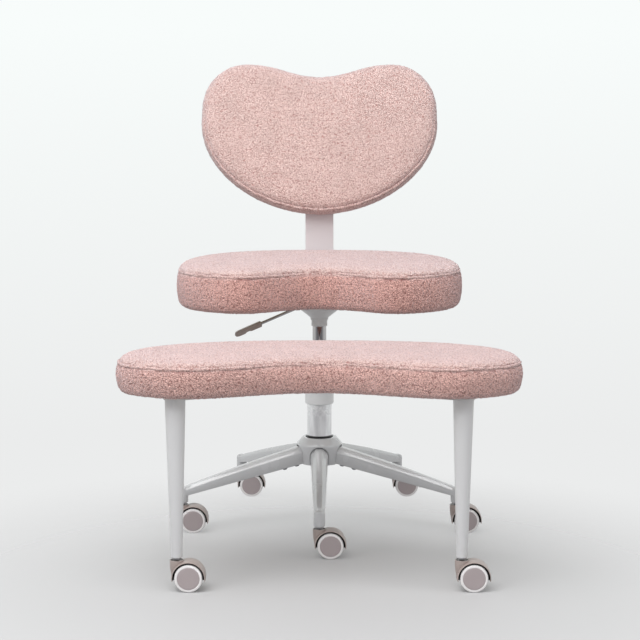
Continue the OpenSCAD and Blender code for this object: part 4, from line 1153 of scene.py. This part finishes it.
bm = bmesh.new()
bmesh.ops.create_circle(bm, cap_ends=True, cap_tris=False, segments=96, radius=FLOOR_R)
floor = as_object(bm, "studio_floor")
floor.data.materials.append(floor_finish())

world = bpy.data.worlds.new("studio")
world.use_nodes = True
scene.world = world
tree = world.node_tree
tree.nodes.clear()
rays = add(tree, "ShaderNodeLightPath")
seen = rays.outputs["Is Camera Ray"]
for kind in ("Is Glossy Ray", "Is Transmission Ray"):
    seen = add(tree, "ShaderNodeMath", {0: seen, 1: rays.outputs[kind]}, operation="MAXIMUM").outputs[0]
soft_light = add(tree, "ShaderNodeBackground", {"Color": srgb("#FFFFFF"), "Strength": 0.45})
direction = add(tree, "ShaderNodeSeparateXYZ", {0: add(tree, "ShaderNodeTexCoord").outputs["Generated"]})
front = add(tree, "ShaderNodeMapRange", {
    "Value": direction.outputs[1], "From Min": -0.15, "From Max": -0.75})
front = add(tree, "ShaderNodeMath", {0: front.outputs[0], 1: rays.outputs["Is Glossy Ray"]},
            operation="MULTIPLY")
wall = add(tree, "ShaderNodeMapRange", {"Value": direction.outputs[2], "From Min": -0.19, "From Max": 0.03})
wall = add(tree, "ShaderNodeMix", {0: wall.outputs[0], 6: srgb("#EBECEC"), 7: srgb("#F8FCFB")},
           data_type="RGBA")
studio = add(tree, "ShaderNodeMix", {0: front.outputs[0], 6: wall.outputs[2], 7: srgb("#8C8C90")},
             data_type="RGBA")
backdrop = add(tree, "ShaderNodeBackground", {"Color": studio.outputs[2], "Strength": 1.0})
chosen = add(tree, "ShaderNodeMixShader", {
    0: seen, 1: soft_light.outputs[0], 2: backdrop.outputs[0]})
add(tree, "ShaderNodeOutputWorld", {"Surface": chosen.outputs[0]})


def softbox(name, place, target, size, watts):
    """A square lamp that looks at a target."""
    data = bpy.data.lights.new(name, "AREA")
    data.shape, data.size, data.energy = "SQUARE", size, watts
    lamp = bpy.data.objects.new(name, data)
    lamp.location = place
    lamp.rotation_euler = (Vector(target) - Vector(place)).to_track_quat("-Z", "Y").to_euler()
    scene.collection.objects.link(lamp)


softbox("top_light", (-0.6, -1.6, 2.7), (0, -0.2, 0.4), 2.6, 85)
softbox("left_light", (-2.3, -1.9, 1.5), (0, 0, 0.4), 1.8, 15.5)
softbox("right_light", (2.4, -1.7, 1.4), (0, 0, 0.4), 1.8, 13.5)

# %% [markdown]
# The view transform is the plain one, so that a colour renders about as it is written.

# %% View transform
scene.view_settings.view_transform = "Standard"
